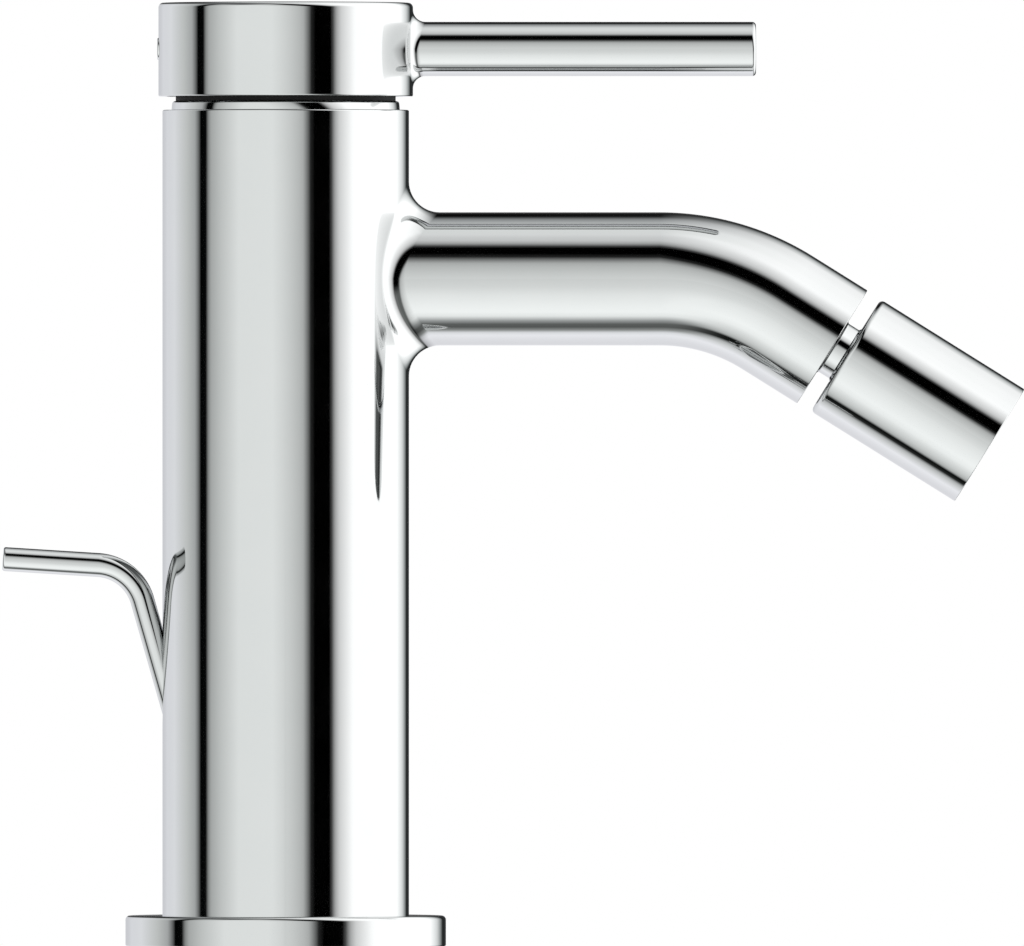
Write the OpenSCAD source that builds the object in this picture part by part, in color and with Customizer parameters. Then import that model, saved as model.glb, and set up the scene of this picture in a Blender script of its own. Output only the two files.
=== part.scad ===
// Single-lever bidet mixer with a ball-jointed swivel aerator and a pop-up lift rod.
// Millimetres, +Z up, +X along the spout. The origin is on the column's axis, in the deck plane.

/* [Column] */
// Outer diameter of the column
body_d = 40; // [39:0.5:46]
// Height of the column's shoulder above the deck
body_h = 135.7; // [125:0.1:160]
// Thickness of the column's cast wall
body_wall = 3.5; // [3:0.1:4]
// Chamfer round the shoulder
shoulder_chamfer = 0.3; // [0.2:0.1:0.8]

/* [Base] */
// Diameter of the base flange
flange_d = 52; // [50:0.5:60]
// Thickness of the base flange
flange_t = 5; // [4:0.1:7]
// Radius of the flange's top edge
flange_edge = 0.7; // [0.3:0.1:1.5]
// Width of the ledge by which the column sits on the flange
flange_ledge = 1.7; // [1:0.1:1.8]
// Share of the flange's ring that the seal under it takes up
seal_share = 0.34; // [0.25:0.01:0.4]
// Thickness of the seal under the flange
seal_t = 2; // [1.5:0.1:2.5]

/* [Spout] */
// Outer diameter of the spout
spout_d = 21.6; // [20:0.1:23]
// Thickness of the spout's wall
spout_wall = 2.5; // [2:0.1:3]
// Depth of the spout's axis below the column's shoulder
spout_below = 27.4; // [26.5:0.1:28.5]
// Distance from the column's axis to the start of the bend
spout_run = 60.7; // [45:0.1:90]
// Centreline radius of the bend
spout_bend_r = 36; // [28:0.5:50]
// Angle by which the spout turns down
spout_drop = 32; // [20:0.5:40]
// Straight length after the bend
spout_tip = 10.5; // [10:0.1:18]
// Radius of the cast fillet between the column and the spout
spout_blend = 4; // [2.5:0.1:5]

/* [Neck] */
// Play between the cap's bore and the foot of the neck ring
neck_play = 0.8; // [0.6:0.1:1.2]
// Height of the neck ring above the shoulder
neck_h = 1.45; // [1.2:0.05:1.7]
// Inward slope of the neck ring over its height
neck_taper = 0.2; // [0.1:0.1:0.6]
// Height of the black wiper ring on the neck ring
wiper_h = 1.6; // [1.2:0.1:2]

/* [Swivel head] */
// Diameter of the swivel head
head_d = 21.4; // [21:0.1:23]
// Length of the swivel head
head_len = 27.5; // [25:0.1:32]
// Radius of the head's rear edge
head_edge = 0.8; // [0.6:0.1:2]
// Gap between the spout's end and the swivel head
head_gap = 2.6; // [2.4:0.1:5]
// Diameter of the ball
ball_d = 16; // [15:0.1:16.4]
// Diameter of the neck behind the ball
ball_neck_d = 9.2; // [8:0.1:10]
// Depth of the ball's centre inside the head
ball_depth = 6.2; // [4.5:0.1:6.4]
// Bore of the water way through the ball
ball_bore_d = 6; // [4:0.1:7]
// Thickness of the plastic seat round the ball
seat_t = 1.25; // [1:0.05:1.3]
// Length of the nipple's threaded plug
plug_len = 8; // [6:0.1:9]

/* [Handle] */
// Diameter of the handle's cap
cap_d = 41.3; // [41:0.1:48]
// Height of the handle's cap
cap_h = 14.95; // [13.5:0.05:20]
// Thickness of the cap's skirt
cap_wall = 1.35; // [1.2:0.05:1.5]
// Thickness of the cap's top
cap_top_t = 2.6; // [2:0.1:3.5]
// Radius of the cap's top edge
cap_edge = 0.8; // [0.3:0.1:1.2]
// Gap between the column's shoulder and the cap's rim
cap_gap = 2.45; // [2.2:0.05:4]
// Diameter of the lever
lever_d = 8.8; // [7:0.1:9.5]
// Distance from the column's axis to the lever's end
lever_reach = 76.3; // [55:0.1:110]
// Height of the lever's axis above the cap's rim
lever_rise = 7.45; // [7:0.05:8]
// Radius of the lever's end edge
lever_edge = 0.6; // [0.4:0.1:2]
// Radius of the fillet between the cap and the lever
lever_blend = 2; // [1:0.1:2.2]
// Diameter of the index plug at the back of the cap
plug_d = 3.6; // [3.4:0.1:4.2]
// Angle by which the lever lifts to open the tap fully
tilt_max = 20; // [15:1:20]

/* [Cartridge] */
// Diameter of the cartridge
cart_d = 28; // [27:0.1:28.6]
// Depth of the cartridge's seat below the shoulder
cart_depth = 23.7; // [23.2:0.1:25]
// Depth of the lever's pivot below the shoulder
pivot_drop = 7; // [6.8:0.1:7.4]
// Wall of the cartridge's housing
cart_wall = 2; // [1.6:0.1:2.2]
// Diameter of the retaining nut's thread
nut_d = 33; // [32:0.1:34]
// Thickness of the retaining nut
nut_t = 2.6; // [2:0.1:2.8]
// Depth of the retaining nut's top below the shoulder
nut_drop = 2.6; // [2.4:0.1:3]
// Thickness of the plate at the cartridge's lower end
base_t = 2.4; // [2.2:0.1:2.6]
// Thickness of the fixed ceramic disc
disc_t = 3; // [2.6:0.1:3.2]
// Thickness of the moving ceramic disc
moving_t = 2.6; // [2.4:0.1:2.8]
// Diameter of the moving ceramic disc
moving_d = 18.6; // [17:0.1:18.8]
// Depth of the rotor below the pivot
rotor_low = 4.5; // [4.3:0.1:4.7]
// Thickness of the rotor's flange
rotor_flange_t = 2; // [1.6:0.1:2.2]
// Height of the rotor above the pivot
rotor_high = 6; // [5.6:0.1:6.4]
// Diameter of the rotor's collar
rotor_d = 21; // [20:0.1:21.4]
// Width of the stem's square end along the lever
stem_w = 5; // [4:0.1:5.4]
// Breadth of the stem's square end across the lever
stem_b = 6; // [5:0.1:6.4]
// Diameter of the pivot pin
pin_d = 2.5; // [2:0.1:3]

/* [Lift rod] */
// Diameter of the lift rod
rod_d = 3.9; // [3:0.1:4.4]
// Height at which the rod's axis meets the column's back
rod_entry = 44.8; // [40:0.1:60]
// Lean of the rod from the vertical
rod_tilt = 16; // [14:0.5:17]
// Straight length of the rod above its entry
rod_rise = 11.75; // [8:0.05:30]
// Centreline radius of the rod's bend
rod_bend_r = 8; // [6:0.5:15]
// Upward slope of the finger end
rod_finger_slope = 3.6; // [0:0.1:10]
// Length of the finger end
rod_finger = 15.5; // [10:0.1:30]
// Depth of the rod's lower end below the deck
rod_depth = 50; // [46:0.5:80]
// Length of the turned-down end for the waste's linkage
rod_end_len = 18; // [10:0.5:20]
// Diameter of the turned-down end
rod_end_d = 3; // [2:0.1:3]

/* [Fixing set] */
// Thickness of the deck that the fixing set is shown clamping
deck_t = 20; // [5:0.5:28]
// Diameter of the fixing studs
stud_d = 6; // [5:0.5:6]
// Depth of the studs' lower ends below the deck
stud_depth = 45; // [44:0.5:80]
// Length of stud held in the column
stud_hold = 18; // [12:0.5:24]
// Diameter of the horseshoe clamp
clamp_d = 46; // [44:0.5:52]
// Thickness of the rubber gasket
gasket_t = 3; // [2:0.1:4]
// Thickness of the steel washer
washer_t = 2.5; // [2:0.1:3]
// Height of the fixing nuts
nut_h = 8; // [5:0.5:10]
// Size of the nuts across flats
nut_af = 10; // [9:0.5:10]

/* [Inlets] */
// Diameter of the inlet threads
inlet_d = 10; // [9:0.1:10]
// Depth of the inlet threads
inlet_depth = 12; // [8:0.5:16]
// Diameter of the cast inlet tubes
inlet_tube_d = 13.2; // [12.6:0.1:13.4]
// Diameter of the drilled inlet ways
way_d = 5.2; // [4:0.1:5.4]
// Diameter of the outlet port
port_d = 6.6; // [5:0.1:6.8]

/* [Hidden] */

$fn = 96;
// Margin by which a cutting tool passes the face that it cuts
eps = 1;
// Radial play of a fixed fit, of a running fit and of parts that swing past each other
fit = 0.1;
run = 0.05;
swing = 0.25;
// A straight end is this much slimmer than the bend before it, and reaches this far into it
slip = 0.02;
lap = 0.4;

chrome = [0.86, 0.87, 0.88];
brass = [0.80, 0.66, 0.36];
steel = [0.66, 0.67, 0.68];
ceramic = [0.94, 0.93, 0.90];
plastic = [0.90, 0.90, 0.88];
rubber = [0.16, 0.16, 0.16];

// Column
body_r = body_d / 2;
core_r = body_r - body_wall;
flange_bore_r = body_r - flange_ledge;
spigot_r = flange_bore_r - fit;
spigot_z = 0.5;
flange_ring = flange_d / 2 - flange_bore_r;
seal_w = seal_share * flange_ring;
seal_mid_r = flange_bore_r + flange_ring / 2;
seal_recess = 0.2;

// Cartridge, measured down from the shoulder
cart_r = cart_d / 2;
seat_z = body_h - cart_depth;
pivot_z = body_h - pivot_drop;
nut_r = nut_d / 2;
nut_top_z = body_h - nut_drop;
cart_shoulder_z = nut_top_z - nut_t;
counterbore_drop = 0.2;
cart_bore_r = cart_r - cart_wall;
rotor_z = pivot_z - rotor_low;
rotor_flange_z = rotor_z + rotor_flange_t;
rotor_top_z = pivot_z + rotor_high;
rotor_r = rotor_d / 2;
rotor_slot = 10.8;
rotor_proud = 0.5;
rotor_play = 0.2;
pin_inset = 1;
cart_neck_wall = 1.4;
cart_neck_r = rotor_r + cart_neck_wall;
housing_top_z = rotor_top_z - rotor_proud;
port_step = 0.4;
port_seal_w = 0.9;
port_seal_proud = 0.6;
port_recess = 0.6;
base_z = seat_z + port_seal_proud;
fixed_z = base_z + base_t;
moving_z = fixed_z + disc_t + run;
carrier_z = moving_z + moving_t;
carrier_top_z = rotor_z - swing;
stem_ball_r = 1.6;
stem_ball_z = carrier_z + swing + stem_ball_r;
stem_socket_r = stem_ball_r + swing;
stem_lean = (carrier_top_z - stem_ball_z) * tan(tilt_max) + swing;
stem_block = 3;
pocket_x = -1.5;
pocket_r = 5.2;
pocket_t = 1.2;

// Water ways
inlet_inset = 5.5;
inlet_ring_r = core_r - inlet_inset;
inlet_angle = 68.5;
inlet_x = inlet_ring_r * cos(inlet_angle);
inlet_y = inlet_ring_r * sin(inlet_angle);
inlet_port_r = 8.1;
inlet_port_angle = 60;
outlet_x = -5.5;
seat_floor = 3.8;
port_z = seat_z - seat_floor - port_d / 2;

// Spout
spout_r = spout_d / 2;
spout_bore_r = spout_r - spout_wall;
spout_z = body_h - spout_below;
block_below = 1;
block_z = spout_z - spout_r - block_below;
spout_root_x = core_r - spout_wall;
seat_wall = 2.7;
spout_bore_x = cart_r + fit + seat_wall;
bend_end_x = spout_run + spout_bend_r * sin(spout_drop);
bend_end_z = spout_z - spout_bend_r * (1 - cos(spout_drop));
ball_reach = spout_tip + head_gap + ball_depth;
ball_x = bend_end_x + ball_reach * cos(spout_drop);
ball_z = bend_end_z - ball_reach * sin(spout_drop);

// Swivel head, along its own axis with the ball's centre at 0
ball_r = ball_d / 2;
ball_front = 4;
groove_depth = 1.4;
groove_w = 2;
o_ring_r = 0.65;
spout_end_t = -ball_depth - head_gap;
seat_in_r = ball_r + run;
seat_out_r = seat_in_r + seat_t;
seat_half = 3.5;
socket_r = seat_out_r + run;
head_r = head_d / 2;
head_front_t = head_len - ball_depth;
clamp_in_r = 6;
clamp_t0 = 3;
clamp_t1 = 8;
washer_seal_t = 1;
washer_inset = 0.5;
washer_play = 0.2;
aerator_t0 = clamp_t1 + washer_seal_t;
aerator_inset = 0.7;
aerator_t1 = head_front_t - aerator_inset;
aerator_r = socket_r - run;
aerator_wall = 1.5;
aerator_bore_r = aerator_r - aerator_wall;
aerator_ledge = 1;
straightener_t = 3;
straightener_pitch = 2.6;
straightener_hole = 1.6;
screen_t = 0.6;
screen_pitch = 2.1;
screen_hole = 1.1;
grid_t = 1.8;
grid_pitch = 2.4;
grid_hole = 1.7;
grid_chamber = 3;
ledge_t = aerator_t1 - grid_t - grid_chamber;

// Handle
cap_r = cap_d / 2;
cap_bore_r = cap_r - cap_wall;
rim_z = body_h + cap_gap;
lever_z = rim_z + lever_rise;
lever_r = lever_d / 2;
lever_sink = 0.8 * cap_wall;
cap_ceiling_z = rim_z + cap_h - cap_top_t;
hub_r = 6.2;
hub_rise = 2.85;
hub_z = rim_z + hub_rise;
stem_short = 0.6;
stem_top_z = cap_ceiling_z - stem_short;
grub_r = 1.5;
grub_sunk = 0.3;
grub_socket_r = 0.87;
grub_socket_t = 1.5;
plug_proud = 0.2;
plug_inside = 0.8;

// Neck ring between the column and the cap, and the wiper ring on it
neck_base_r = cap_bore_r - neck_play;
neck_top_r = neck_base_r - neck_taper;
neck_clear = 1.3;
neck_in_r = cart_neck_r + neck_clear;
neck_spigot_h = nut_drop - 2 * fit;
wiper_step = 0.45;
wiper_r = neck_top_r - wiper_step;
wiper_z = body_h + neck_h;
wiper_edge = 0.5;

// Lift rod
rod_r = rod_d / 2;
rod_play = 0.2;
rod_bore_r = rod_r + rod_play;
bush_wall = 0.65;
bush_r = rod_bore_r + bush_wall;
bush_top_s = -10.5;
bush_low_s = -28;
guide_wall = 1.6;
guide_r = bush_r + guide_wall;
rod_hole_r = rod_bore_r + swing;
rod_end_edge = 0.4;
rod_low_s = -(rod_entry + rod_depth) / cos(rod_tilt);

// Fixing set
stud_r = stud_d / 2;
stud_inset = 3;
stud_ring_r = core_r - stud_inset;
stud_angle = 132;
boss_wall = 2.5;
boss_roof = 3;
boss_rise = 1;
stud_short = 1;
stud_boss_r = stud_r + boss_wall;
boss_z = flange_t + boss_rise;
stud_top_z = boss_z + stud_hold;
clamp_land = 1.8;
clamp_slot_x = stud_ring_r * cos(stud_angle) + stud_r + clamp_land;
hose_play = 0.4;
clamp_slot_y = inlet_y + inlet_tube_d / 2 + hose_play;
stud_play = 0.3;
gasket_z = -deck_t - gasket_t;
washer_z = gasket_z - washer_t;

// One copy on each side of the plane of symmetry
module both_sides() {
  children();
  mirror([0, 1, 0]) children();
}

// Cylinder on the Z axis from z0 to z1
module rod_z(r, z0, z1) {
  translate([0, 0, z0]) cylinder(r = r, h = z1 - z0);
}

// Tube path that starts at the origin along +Z and bends toward +X
module bend(path_r, angle) {
  translate([path_r, 0, 0]) rotate([90, 0, 180])
    rotate_extrude(angle = angle) translate([path_r, 0]) children();
}

// Half section of a disc whose outer top edge is rounded
module disc_section(r, h, edge) {
  square([r - edge, h]);
  square([r, h - edge]);
  translate([r - edge, h - edge]) circle(edge);
}

// Frame on the rod's axis, with the entry into the column at 0 and +Z up the rod
module on_rod() {
  translate([-body_r, 0, rod_entry]) rotate([0, -rod_tilt, 0]) children();
}

// Frame of the swivel head, with the ball's centre at 0 and +Z out of the head
module on_head() {
  translate([ball_x, 0, ball_z]) rotate([0, 90 + spout_drop, 0]) children();
}

// Frame on a fixing stud's axis
module on_stud() {
  rotate([0, 0, stud_angle]) translate([stud_ring_r, 0, 0]) children();
}

// Direction between two unit vectors
function turn(a, b, t) =
  let (w = acos(a * b)) (sin((1 - t) * w) * a + sin(t * w) * b) / sin(w);

// Section of a rolling-ball fillet at one angle round a branch tube of radius r on a column of radius R
function blend_section(R, r, ball, sink, angle, steps) =
  let (
    side = [0, sin(angle), cos(angle)],
    reach = r + ball - run,
    xc = sqrt(pow(R + ball - run, 2) - pow(reach * sin(angle), 2)),
    centre = [xc, reach * sin(angle), reach * cos(angle)],
    flat = [xc, centre.y, 0] / norm([xc, centre.y]),
    on_column = centre - ball * flat,
    on_branch = centre - ball * side,
    deep = on_column - sink * flat
  )
  concat(
    [for (k = [0 : steps]) centre - ball * turn(flat, side, k / steps)],
    [on_branch - sink * side, [deep.x, 0, 0] + (r - sink) * side, deep]
  );

// Fillet all round a branch tube of radius r that leaves a column of radius R along +X
module blend(R, r, ball, sink, turns, steps) {
  rows = [for (i = [0 : turns - 1]) blend_section(R, r, ball, sink, 360 * i / turns, steps)];
  count = len(rows[0]);
  faces = [
    for (i = [0 : turns - 1], j = [0 : count - 1])
      let (
        a = i * count + j,
        b = i * count + (j + 1) % count,
        c = ((i + 1) % turns) * count + (j + 1) % count,
        d = ((i + 1) % turns) * count + j
      )
      each [[a, b, c], [a, c, d]]
  ];
  polyhedron(points = [for (row = rows) each row], faces = faces);
}

// Outside of the column, with the spigot that drops into the flange
module column() {
  rotate_extrude() {
    translate([0, spigot_z]) square([spigot_r, flange_t]);
    translate([0, flange_t]) square([body_r, body_h - flange_t - shoulder_chamfer]);
    translate([0, body_h - shoulder_chamfer])
      polygon([
        [0, -eps], [body_r, -eps], [body_r, 0],
        [body_r - shoulder_chamfer, shoulder_chamfer], [0, shoulder_chamfer]
      ]);
  }
}

// Path of the spout, filled with a round bar of radius r
module spout_path(r, start_x) {
  translate([0, 0, spout_z]) rotate([0, 90, 0]) rod_z(r, start_x, spout_run);
  translate([spout_run, 0, spout_z]) rotate([0, 90, 0]) bend(spout_bend_r, spout_drop) circle(r);
  on_head() rod_z(r - slip, spout_end_t - spout_tip - lap, spout_end_t);
}

// Drilled way from an inlet thread up to its port in the cartridge's seat
module inlet_way() {
  start = [inlet_x, inlet_y, spigot_z + inlet_depth - eps];
  end = [inlet_port_r * cos(inlet_port_angle), inlet_port_r * sin(inlet_port_angle), seat_z + eps];
  path = end - start;
  lean = acos(path.z / norm(path));
  translate(start) rotate([0, lean, atan2(path.y, path.x)]) cylinder(d = way_d, h = norm(path));
}

// Column and spout, one brass casting
module body() {
  color(chrome) difference() {
    union() {
      difference() {
        column();
        rod_z(core_r, -eps, block_z);
      }
      both_sides() {
        translate([inlet_x, inlet_y, 0]) rod_z(inlet_tube_d / 2, spigot_z, block_z + eps);
        on_stud() rod_z(stud_boss_r, boss_z, stud_top_z + boss_roof);
      }
      intersection() {
        on_rod() rod_z(guide_r, bush_low_s, body_r);
        rod_z(body_r - body_wall / 2, 0, block_z);
      }
      spout_path(spout_r, spout_root_x);
      translate([0, 0, spout_z]) blend(body_r, spout_r, spout_blend, body_wall / 3, 48, 6);
    }
    rod_z(cart_r + fit, seat_z, body_h);
    rod_z(nut_r, cart_shoulder_z - counterbore_drop, body_h + eps);
    both_sides() {
      inlet_way();
      translate([inlet_x, inlet_y, 0]) rod_z(inlet_d / 2, spigot_z - eps, spigot_z + inlet_depth);
      on_stud() rod_z(stud_r + run, 0, stud_top_z);
    }
    translate([outlet_x, 0, 0]) rod_z(port_d / 2, port_z, seat_z + eps);
    translate([outlet_x, 0, port_z]) rotate([0, 90, 0])
      cylinder(d = port_d, h = spout_bore_x - outlet_x + eps);
    spout_path(spout_bore_r, spout_bore_x);
    on_head() rod_z(spout_bore_r - slip, spout_end_t - eps, spout_end_t + eps);
    on_rod() rod_z(bush_r + run, bush_low_s - eps, bush_top_s);
    on_rod() rod_z(rod_hole_r, bush_top_s - eps, body_r);
  }
}

// Round flange that covers the tap hole
module base_flange() {
  color(chrome) rotate_extrude() difference() {
    disc_section(flange_d / 2, flange_t, flange_edge);
    translate([0, -eps]) square([flange_bore_r, flange_t + 2 * eps]);
    translate([seal_mid_r - seal_w / 2 - fit, -eps])
      square([seal_w + 2 * fit, seal_recess + seal_t + eps]);
  }
}

// Rubber ring in the groove under the flange
module base_seal() {
  color(rubber) rotate_extrude()
    translate([seal_mid_r - seal_w / 2, seal_recess]) square([seal_w, seal_t]);
}

// Slim tapered ring that hides the cartridge nut below the cap
module neck_ring() {
  color(chrome) translate([0, 0, body_h]) rotate_extrude() {
    polygon([[neck_in_r, 0], [neck_base_r, 0], [neck_top_r, neck_h], [neck_in_r, neck_h]]);
    translate([neck_in_r, -neck_spigot_h])
      square([nut_r - fit - neck_in_r, neck_spigot_h + neck_h / 2]);
  }
}

// Black ring on the neck ring, which keeps water out of the cap
module wiper_ring() {
  color(rubber) translate([0, 0, wiper_z]) rotate_extrude() difference() {
    disc_section(wiper_r, wiper_h, wiper_edge);
    translate([0, -eps]) square([neck_in_r, wiper_h + 2 * eps]);
  }
}

// Ring nut that clamps the cartridge, with spanner notches in its top
module cartridge_nut() {
  notches = 6;
  notch_w = 3;
  notch_in = 1.8;
  notch_t = 1.2;
  color(brass) difference() {
    rod_z(nut_r - fit, cart_shoulder_z, nut_top_z);
    rod_z(cart_neck_r + fit, cart_shoulder_z - eps, nut_top_z + eps);
    for (i = [0 : notches - 1]) rotate([0, 0, 360 * i / notches])
      translate([nut_r - notch_in, -notch_w / 2, nut_top_z - notch_t])
        cube([notch_in + eps, notch_w, notch_t + eps]);
  }
}

// Stepped plastic sleeve of the cartridge
module cartridge_housing() {
  color(plastic) difference() {
    union() {
      rod_z(cart_r, seat_z, cart_shoulder_z);
      rod_z(cart_neck_r, cart_shoulder_z - eps, housing_top_z);
    }
    rod_z(cart_bore_r, seat_z - eps, rotor_flange_z + rotor_play);
    rod_z(rotor_r + rotor_play, seat_z, housing_top_z + eps);
  }
}

// The three ports of the cartridge: two inlets and one outlet
module ports(shrink) {
  both_sides() rotate([0, 0, inlet_port_angle]) translate([inlet_port_r, 0]) circle(d = way_d - shrink);
  translate([outlet_x, 0]) circle(d = port_d - shrink);
}

// Plate that closes the cartridge's lower end and holds the port seals
module cartridge_base() {
  color(plastic) translate([0, 0, base_z]) difference() {
    linear_extrude(fixed_z - base_z) difference() {
      circle(cart_bore_r - fit);
      ports(port_step);
    }
    translate([0, 0, -eps]) linear_extrude(eps + port_recess) ports(-2 * (port_seal_w + fit));
  }
}

// Rubber rings round the three ports
module cartridge_seals() {
  color(rubber) translate([0, 0, seat_z]) linear_extrude(port_seal_proud + port_recess - fit) difference() {
    ports(-2 * port_seal_w);
    ports(0);
  }
}

// Lower ceramic disc, held still by the base
module fixed_disc() {
  color(ceramic) translate([0, 0, fixed_z]) linear_extrude(disc_t) difference() {
    circle(cart_bore_r - fit);
    ports(port_step);
  }
}

// Upper ceramic disc, with the mixing pocket in its underside
module moving_disc() {
  color(ceramic) difference() {
    rod_z(moving_d / 2, moving_z, moving_z + moving_t);
    translate([pocket_x, 0, 0]) rod_z(pocket_r, moving_z - eps, moving_z + pocket_t);
  }
}

// Plastic driver on the moving disc, with the socket for the stem's ball end
module disc_carrier() {
  color(plastic) difference() {
    rod_z(moving_d / 2 - 2 * fit, carrier_z, carrier_top_z);
    rod_z(stem_socket_r, carrier_z - eps, carrier_top_z + eps);
    translate([-stem_socket_r - stem_lean, -stem_socket_r, stem_ball_z + stem_ball_r / 4])
      cube([stem_socket_r + stem_lean, 2 * stem_socket_r, carrier_top_z]);
  }
}

// Collar that turns in the housing and carries the stem on its pin
module rotor() {
  color(plastic) difference() {
    union() {
      rod_z(cart_bore_r - swing, rotor_z, rotor_flange_z);
      rod_z(rotor_r, rotor_z, rotor_top_z);
    }
    translate([-rotor_slot / 2, -stem_b / 2 - swing, rotor_z - eps])
      cube([rotor_slot, stem_b + 2 * swing, rotor_top_z - rotor_z + 2 * eps]);
    translate([0, 0, pivot_z]) rotate([90, 0, 0]) cylinder(d = pin_d, h = body_d, center = true);
  }
}

// Steel pin on which the stem tilts
module pivot_pin() {
  color(steel) translate([0, 0, pivot_z]) rotate([90, 0, 0])
    cylinder(d = pin_d, h = rotor_d - 2 * pin_inset, center = true);
}

// Stem from the discs up into the handle's hub
module stem() {
  color(steel) difference() {
    union() {
      translate([-stem_w / 2, -stem_b / 2, pivot_z - stem_block])
        cube([stem_w, stem_b, stem_top_z - pivot_z + stem_block]);
      rod_z(stem_ball_r - 2 * fit, stem_ball_z, pivot_z);
      translate([0, 0, stem_ball_z]) sphere(stem_ball_r);
    }
    translate([0, 0, pivot_z]) rotate([90, 0, 0]) cylinder(r = pin_d / 2 + run, h = body_d, center = true);
  }
}

// Cap and lever, one casting, with the hub that takes the stem
module handle() {
  socket_w = stem_w + 2 * fit;
  socket_b = stem_b + 2 * fit;
  color(chrome) difference() {
    union() {
      translate([0, 0, rim_z]) rotate_extrude() difference() {
        disc_section(cap_r, cap_h, cap_edge);
        translate([0, -eps]) square([cap_bore_r, cap_h - cap_top_t + eps]);
      }
      rod_z(hub_r, hub_z, cap_ceiling_z + cap_top_t / 2);
      translate([cap_r - lever_sink, 0, lever_z]) rotate([0, 90, 0]) rotate_extrude()
        disc_section(lever_r, lever_reach - cap_r + lever_sink, lever_edge);
      translate([0, 0, lever_z]) blend(cap_r, lever_r, lever_blend, cap_wall / 3, 36, 5);
    }
    translate([-socket_w / 2, -socket_b / 2, hub_z - eps])
      cube([socket_w, socket_b, cap_ceiling_z - hub_z + eps]);
    translate([0, 0, lever_z]) rotate([0, -90, 0]) rod_z(grub_r, 0, hub_r + eps);
    translate([0, 0, lever_z]) rotate([0, -90, 0]) rod_z(plug_d / 2 + run, hub_r + eps, cap_r + eps);
  }
}

// Socket screw that locks the handle on the stem
module grub_screw() {
  start = stem_w / 2 + run;
  color(steel) translate([0, 0, lever_z]) rotate([0, -90, 0]) difference() {
    rod_z(grub_r - run, start, hub_r - grub_sunk);
    translate([0, 0, hub_r - grub_sunk - grub_socket_t])
      cylinder(r = grub_socket_r, h = grub_socket_t + eps, $fn = 6);
  }
}

// Plug that covers the screw's hole
module index_plug() {
  color(chrome) translate([0, 0, lever_z]) rotate([0, -90, 0])
    rod_z(plug_d / 2, cap_bore_r - plug_inside, cap_r + plug_proud);
}

// Threaded plug, neck and ball that carry the swivel head
module ball_nipple() {
  groove_t = spout_end_t - plug_len / 2;
  color(chrome) on_head() rotate_extrude() difference() {
    union() {
      translate([0, spout_end_t - plug_len]) square([spout_bore_r - slip - run, plug_len]);
      translate([0, spout_end_t - eps]) square([ball_neck_d / 2, -spout_end_t]);
      intersection() {
        circle(ball_r);
        translate([0, -ball_r]) square([ball_r, ball_r + ball_front]);
      }
    }
    translate([0, spout_end_t - plug_len - eps]) square([ball_bore_d / 2, plug_len + ball_reach + ball_r]);
    translate([spout_bore_r - groove_depth, groove_t - groove_w / 2]) square([groove_depth + eps, groove_w]);
  }
}

// Rubber ring in the nipple's groove
module nipple_o_ring() {
  color(rubber) on_head() translate([0, 0, spout_end_t - plug_len / 2]) rotate_extrude()
    translate([spout_bore_r - groove_depth / 2, 0]) circle(o_ring_r);
}

// Plastic seat, round inside and out, on which the head swivels
module ball_seat() {
  color(plastic) on_head() rotate_extrude() intersection() {
    difference() {
      circle(seat_out_r);
      circle(seat_in_r);
    }
    translate([0, -seat_half]) square([seat_out_r, 2 * seat_half]);
  }
}

// Outer sleeve of the swivel head
module swivel_sleeve() {
  color(chrome) on_head() rotate_extrude() difference() {
    translate([0, head_front_t]) mirror([0, 1]) disc_section(head_r, head_len, head_edge);
    intersection() {
      circle(socket_r);
      translate([0, -socket_r]) square([socket_r, 2 * socket_r]);
    }
    square([socket_r, head_front_t + eps]);
  }
}

// Ring screwed in from the front, which closes the socket round the seat
module clamp_ring() {
  color(brass) on_head() rotate_extrude() difference() {
    translate([clamp_in_r, clamp_t0]) square([aerator_r - clamp_in_r, clamp_t1 - clamp_t0]);
    circle(socket_r);
  }
}

// Flat rubber washer behind the aerator
module aerator_washer() {
  in_r = clamp_in_r + washer_inset;
  color(rubber) on_head() rotate_extrude()
    translate([in_r, clamp_t1]) square([aerator_r - washer_play - in_r, washer_seal_t]);
}

// Round holes in rings of six about a centre hole
module hole_rings(rings, pitch, d) {
  circle(d = d);
  for (n = [1 : rings], i = [0 : 6 * n - 1]) rotate(60 * i / n) translate([n * pitch, 0]) circle(d = d);
}

// Fine strainer on the straightener
module aerator_screen() {
  color(steel) on_head() translate([0, 0, ledge_t - straightener_t - screen_t])
    linear_extrude(screen_t) difference() {
      circle(aerator_bore_r - fit);
      hole_rings(3, screen_pitch, screen_hole);
    }
}

// Plastic disc that makes the stream even
module flow_straightener() {
  color(plastic) on_head() translate([0, 0, ledge_t - straightener_t])
    linear_extrude(straightener_t) difference() {
      circle(aerator_bore_r - fit);
      hole_rings(2, straightener_pitch, straightener_hole);
    }
}

// Aerator's cup, with its outlet grid
module aerator_body() {
  color(plastic) on_head() difference() {
    rod_z(aerator_r, aerator_t0, aerator_t1);
    rod_z(aerator_bore_r, aerator_t0 - eps, ledge_t);
    rod_z(aerator_bore_r - aerator_ledge, ledge_t - eps, aerator_t1 - grid_t);
    translate([0, 0, aerator_t1 - grid_t - eps]) linear_extrude(grid_t + 2 * eps)
      hole_rings(2, grid_pitch, grid_hole);
  }
}

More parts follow.
